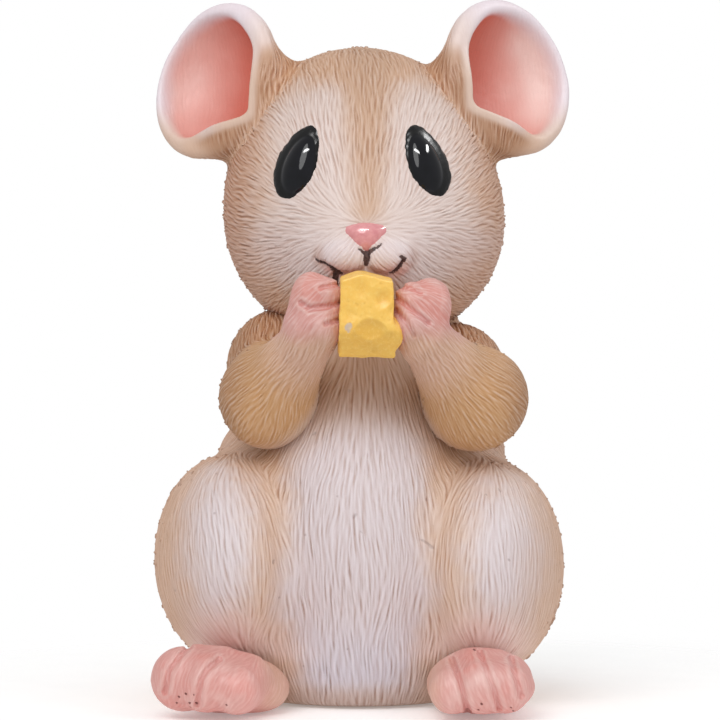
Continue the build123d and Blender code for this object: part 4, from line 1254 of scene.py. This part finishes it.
# --- tail
o, P, n, g = piece("tail_skin", sd_tail, (-40, -8, 0), (16, 48, 17), 0.8, 2, "tail", "skin", SKINM)
best = np.full(len(P), 1e9, F)
at = np.zeros(len(P), F)
for a, b, r0 in zip(TP[:-1], TP[1:], TRUN[:-1]):
    a, b = V(*a), V(*b)
    t = np.clip(((P - a) @ (b - a)) / float((b - a) @ (b - a)), 0, 1)
    d = np.sqrt(((P - a - t[:, None] * (b - a)) ** 2).sum(1))
    at = np.where(d < best, r0 + t * np.linalg.norm(b - a), at)
    best = np.minimum(d, best)
rings = np.abs(((at / 1.25 + 0.12 * soft_noise(P, 3.0, 1)) % 1.0) - 0.5) * 2
ns = soft_noise(P, 5.0, 0)
col = mix(np.tile(SKIN, (len(P), 1)), PALE, S(-0.2, 1.0, ns) * 0.4)
col = mix(col, ROSE, S(0.75, 1.0, rings) * 0.4)
# painted shade: brown where the tail meets the body
col = mix(col, BROWN, S(2.2, 0.1, sd_body(P)) * 0.45)
put(o, P + n * (-0.16 * S(0.70, 1.0, rings) + 0.04 * ns)[:, None])
attr(o, "paint", col)
attr(o, "stroke", np.clip(0.55 + 0.1 * ns, 0, 1))
attr(o, "pits", np.zeros(len(P), F))


# --- cheese
def sd_cheese_cut(P):
    q = (P - CHEESE_C) @ CHEESE_R
    d = sd_cheese(P)
    d = d + 0.22 * soft_noise(P, 3.0, 2) + 0.04 * soft_noise(P, 1.1, 1)
    # shallow dents: place on the piece, radius, softness
    for c, r, k in (((0.7, -10.3, -3.6), 6.0, 0.25), ((3.3, -8.0, 4.6), 3.1, 0.5), ((6.4, -7.0, 1.9), 2.3, 0.4), ((-1.6, -8.2, 6.6), 3.0, 0.8),
                    ((2.6, -6.2, -9.4), 3.4, 0.25), ((-4.6, -5.0, -7.2), 1.4, 0.5), ((-3.9, -8.0, 1.2), 2.5, 0.9),
                    ((7.6, 1.5, 3.2), 2.4, 0.4), ((-7.2, 1.8, -3.0), 2.4, 0.4), ((0.5, 7.2, 1.5), 3.0, 0.4), ((-2.6, 6.8, -4.5), 2.2, 0.4)):
        d = smax(d, -(np.sqrt(((q - V(*c)) ** 2).sum(1)) - r), k)
    return d


CH = Mat("cheese_paint")
nf = CH.noise(1500, 4, 0.6)
nb = CH.noise(260, 3, 0.6)
cc = CH.mix(CH.span(nb, 0.35, 0.7, 0.0, 0.5), CH.attr("paint", True), CH.mix(1.0, CH.attr("paint", True), (1.0, 0.86, 0.62), "MULTIPLY"))
cc = CH.mix(CH.span(nf, 0.5, 0.75, 0.0, 0.35), cc, rgb(255, 224, 140))
CH.finish(cc, CH.span(nf, 0.3, 0.7, 0.34, 0.52), CH.bump(CH.math("ADD", nf, nb), 0.35, 0.00018), spec=0.45)
o, P, n, g = piece("cheese_block", sd_cheese_cut, (-8.5, -51, 77), (10, -33, 102), 0.5, 2, "cheese", "cheese", CH.m)
q = (P - CHEESE_C) @ CHEESE_R
col = np.tile(rgb(248, 200, 96), (len(P), 1))
# painted shade: the lower, downward-facing facet is painted a darker yellow
lower_facet_shade = S(-2.2, -3.4, q[:, 2] + 0.4 * soft_noise(P, 2.2, 0)) * S(-0.35, -0.7, n[:, 1])
col = mix(col, rgb(232, 184, 82), lower_facet_shade * 0.8)
hol = hollow(sd_cheese_cut, P, 0.5)
# painted shade: the crater is painted the same darker yellow as the shaded facet
crater_shade = S(4.0, 3.6, np.sqrt((q[:, 0] - 0.7) ** 2 + (q[:, 2] + 3.6) ** 2) + 0.25 * soft_noise(P, 1.4, 1)) * S(-0.2, -0.5, n[:, 1])
col = mix(col, rgb(232, 184, 82), crater_shade * 0.65)
# partly a painted wash, partly painted shade: darker orange in the cheese's dents
col = mix(col, rgb(214, 160, 60), S(0.05, 0.5, hol) * 0.45)
chip = S(1.05, 0.55, np.sqrt((q[:, 0] + 4.0) ** 2 + (q[:, 2] + 1.7) ** 2) + 0.5 * soft_noise(P, 0.9, 3)) * S(-0.2, -0.5, n[:, 1])
col = mix(col, rgb(206, 192, 184), chip * 0.9)
put(o, P + n * (-0.12 * chip + 0.03 * soft_noise(P, 0.7, 0))[:, None])
attr(o, "paint", col)

# --- nose
NM = Mat("nose_gloss")
nn = NM.noise(900, 3, 0.5)
NM.finish(NM.ramp(nn, [(0.3, rgb(214, 136, 141)), (0.7, rgb(228, 158, 159))]), NM.span(nn, 0.3, 0.7, 0.14, 0.22), NM.bump(nn, 0.12, 0.0002), spec=0.5, coat=0.6, coat_rough=0.08)
o, P, n, g = piece("nose_gloss", sd_nose, (-5.5, -37, 101), (7, -28, 111), 0.35, 1, "nose", "nose", NM.m)
put(o, P)

# --- eyes
for s, side, box in (("R", "right", ((-22, -32, 112), (-7, -18, 134))), ("L", "left", ((7, -32, 112), (23, -18, 134)))):
    EM = Mat("eye_gloss_" + side)
    ne = EM.noise(500, 3, 0.5)
    ec = EM.mix(EM.attr("rim"), EM.ramp(ne, [(0.3, rgb(5, 6, 12)), (0.7, rgb(12, 13, 20))]), rgb(4, 4, 5))
    EM.finish(ec, EM.span(EM.attr("rim"), 0.0, 1.0, 0.06, 0.26), EM.bump(ne, 0.06, 0.0003), spec=0.32)
    fld = lambda P, s=s: sd_eye(P, s)
    C, a, b, nrm = EYF[s]
    lo = C - 9.5
    hi = C + 9.5
    o, P, n, g = piece("eye_%s_gloss" % side, fld, lo, hi, 0.4, 1, "eye_" + side, "eye", EM.m)
    q = eye_local(P, s)
    sg = 1.0 if s == "R" else -1.0
    q = q * np.stack([1 + 0.022 * q[:, 1] + 0.0012 * q[:, 1] ** 2, np.ones(len(q), F), np.ones(len(q), F)], 1)
    dome = ell(q, (0.85 * sg, -0.45, -0.85), (3.95, 7.35, 2.85)) - ell(q, (0, 0, -0.95), (5.25, 8.75, 2.0))
    edge = np.sqrt((q[:, 0] / 5.25) ** 2 + (q[:, 1] / 8.75) ** 2)
    put(o, P + n * (0.16 * soft_noise(P, 1.5, 2) * S(0.80, 0.97, edge) + 0.03 * soft_noise(P, 1.1, 0) * S(-0.10, 0.12, dome))[:, None])
    attr(o, "rim", S(-0.10, 0.12, dome))

# --- what stays as built: the dowel in the neck, the weight's cover disc and the felt
wood = plain_material("dowel_beech", rgb(196, 158, 112), rgb(222, 188, 142), 900, (0.55, 0.7), 0.3, 0.0001, stretch=(1.0, 1.0, 0.06))
card = plain_material("disc_board", rgb(120, 112, 102), rgb(150, 140, 126), 1400, (0.75, 0.9), 0.3, 0.0001)
felt = plain_material("felt_pad", rgb(206, 194, 178), rgb(228, 218, 204), 3200, (0.92, 1.0), 0.9, 0.0004, spec=0.1)
felt.node_tree.nodes["Principled BSDF"].inputs["Sheen Weight"].default_value = 0.4
for name, m in (("neck_dowel", wood), ("base_disc", card), ("base_felt", felt)):
    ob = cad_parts[name]
    for sl in ob.material_slots:
        sl.link = "OBJECT"
        sl.material = m

# ---------------------------------------------------------------- camera, floor and light
sh = [float(v) for v in SHIFT]
T = Vector(((-0.3 + sh[0]) * MM, sh[1] * MM, 77.4 * MM))
el = math.radians(2.0)
cam = bpy.data.objects.new("camera", bpy.data.cameras.new("camera"))
bpy.context.scene.collection.objects.link(cam)
cam.location = T + Vector((0, -math.cos(el), math.sin(el))) * 0.9
cam.rotation_euler = (math.pi / 2 - el, 0, 0)
cam.data.sensor_fit = "HORIZONTAL"
cam.data.sensor_width = 36
cam.data.lens = 36 * 3907 / 720
cam.data.clip_start = 0.05
cam.data.clip_end = 20
bpy.context.scene.camera = cam
bpy.context.scene.view_settings.view_transform = "Standard"
bpy.context.scene.view_settings.look = "None"

fm = bpy.data.meshes.new("floor")
ring = [(math.cos(2 * math.pi * i / 96) * 0.7, math.sin(2 * math.pi * i / 96) * 0.7, 0.0) for i in range(96)]
fm.from_pydata(ring, [], [list(range(96))])
floor = bpy.data.objects.new("floor", fm)
bpy.context.scene.collection.objects.link(floor)
FM = Mat("floor_paper")
d = FM.node("ShaderNodeVectorMath", operation="LENGTH")
FM.link(FM.coord(), d.inputs[0])
FM.finish(FM.ramp(FM.noise(60, 3, 0.5), [(0.3, rgb(247, 247, 247)), (0.7, rgb(250, 250, 250))]), 0.9, spec=0.0)
FM.link(FM.span(d.outputs["Value"], 0.05, 0.16, 1.0, 0.0), FM.b.inputs["Alpha"])
FM.b.inputs["Emission Color"].default_value = (1, 1, 1, 1)
FM.b.inputs["Emission Strength"].default_value = 0.20
fm.materials.append(FM.m)
floor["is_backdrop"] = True

world = bpy.data.worlds.new("studio")
bpy.context.scene.world = world
world.use_nodes = True
wt = world.node_tree
wt.nodes.clear()
bg = wt.nodes.new("ShaderNodeBackground")
bg.inputs[0].default_value = (1, 1, 1, 1)
lp = wt.nodes.new("ShaderNodeLightPath")
mr = wt.nodes.new("ShaderNodeMapRange")
mr.inputs[3].default_value = 0.66
mr.inputs[4].default_value = 1.0
wt.links.new(lp.outputs["Is Camera Ray"], mr.inputs[0])
wt.links.new(mr.outputs[0], bg.inputs[1])
wo = wt.nodes.new("ShaderNodeOutputWorld")
wt.links.new(bg.outputs[0], wo.inputs[0])


def area(name, where, aim, size, power, shape="RECTANGLE", spread=180, colour=(1, 1, 1)):
    L = bpy.data.lights.new(name, "AREA")
    L.shape = shape
    L.size = size[0]
    if shape in ("RECTANGLE", "ELLIPSE"):
        L.size_y = size[1]
    L.energy = power
    L.color = colour
    L.spread = math.radians(spread)
    ob = bpy.data.objects.new(name, L)
    bpy.context.scene.collection.objects.link(ob)
    ob.location = where
    ob.rotation_euler = (Vector(aim) - Vector(where)).to_track_quat("-Z", "Y").to_euler()
    return ob


def mirror_of(px, py, field, lo=840.0):
    """Where a place of the front view looks after its reflection: a point and a direction."""
    f, u, r = V(0, math.cos(CAM_E), -math.sin(CAM_E)), V(0, math.sin(CAM_E), math.cos(CAM_E)), V(1, 0, 0)
    d = f * 3907 + r * (px - 360) + u * (360 - py)
    d = d / np.linalg.norm(d)
    at = lo
    for _ in range(200):
        q = (CAM_AT + d * at).astype(F)[None]
        k = float(field(q)[0])
        at += max(k * 0.6, 0.002)
        if k < 0.002:
            break
    n = grad(field, q)[0]
    return (q[0] + SHIFT) * F(MM), d - 2 * float(d @ n) * n


mid = (0, 0, 0.08)
for ob in (area("key", (-0.35, -0.85, 0.95), mid, (0.9, 0.7), 5.9), area("fill", (0.95, -0.75, 0.45), mid, (0.7, 0.9), 2.5)):
    ob.visible_glossy = False
# softer and smaller lamps that only make the highlights: two round ones and a tall soft one
eyeR, eyeL = (lambda q: sd_eye(q, "R")), (lambda q: sd_eye(q, "L"))
for name, px, py, fld, size, watt, shape in (
        ("glint_a", 306.5, 149.5, eyeR, (0.46, 0.070), 3.4, "ELLIPSE"), ("glint_b", 427.5, 148.5, eyeL, (0.46, 0.075), 3.4, "ELLIPSE"),
        ("strip", 415.5, 154.0, eyeL, (0.42, 0.62), 3.2, "ELLIPSE")):
    at, way = mirror_of(px, py, fld)
    ob = area(name, tuple(float(v) for v in at + way * F(0.75)), tuple(float(v) for v in at), size, watt, shape)
    ob.visible_diffuse = False

lo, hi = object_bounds()
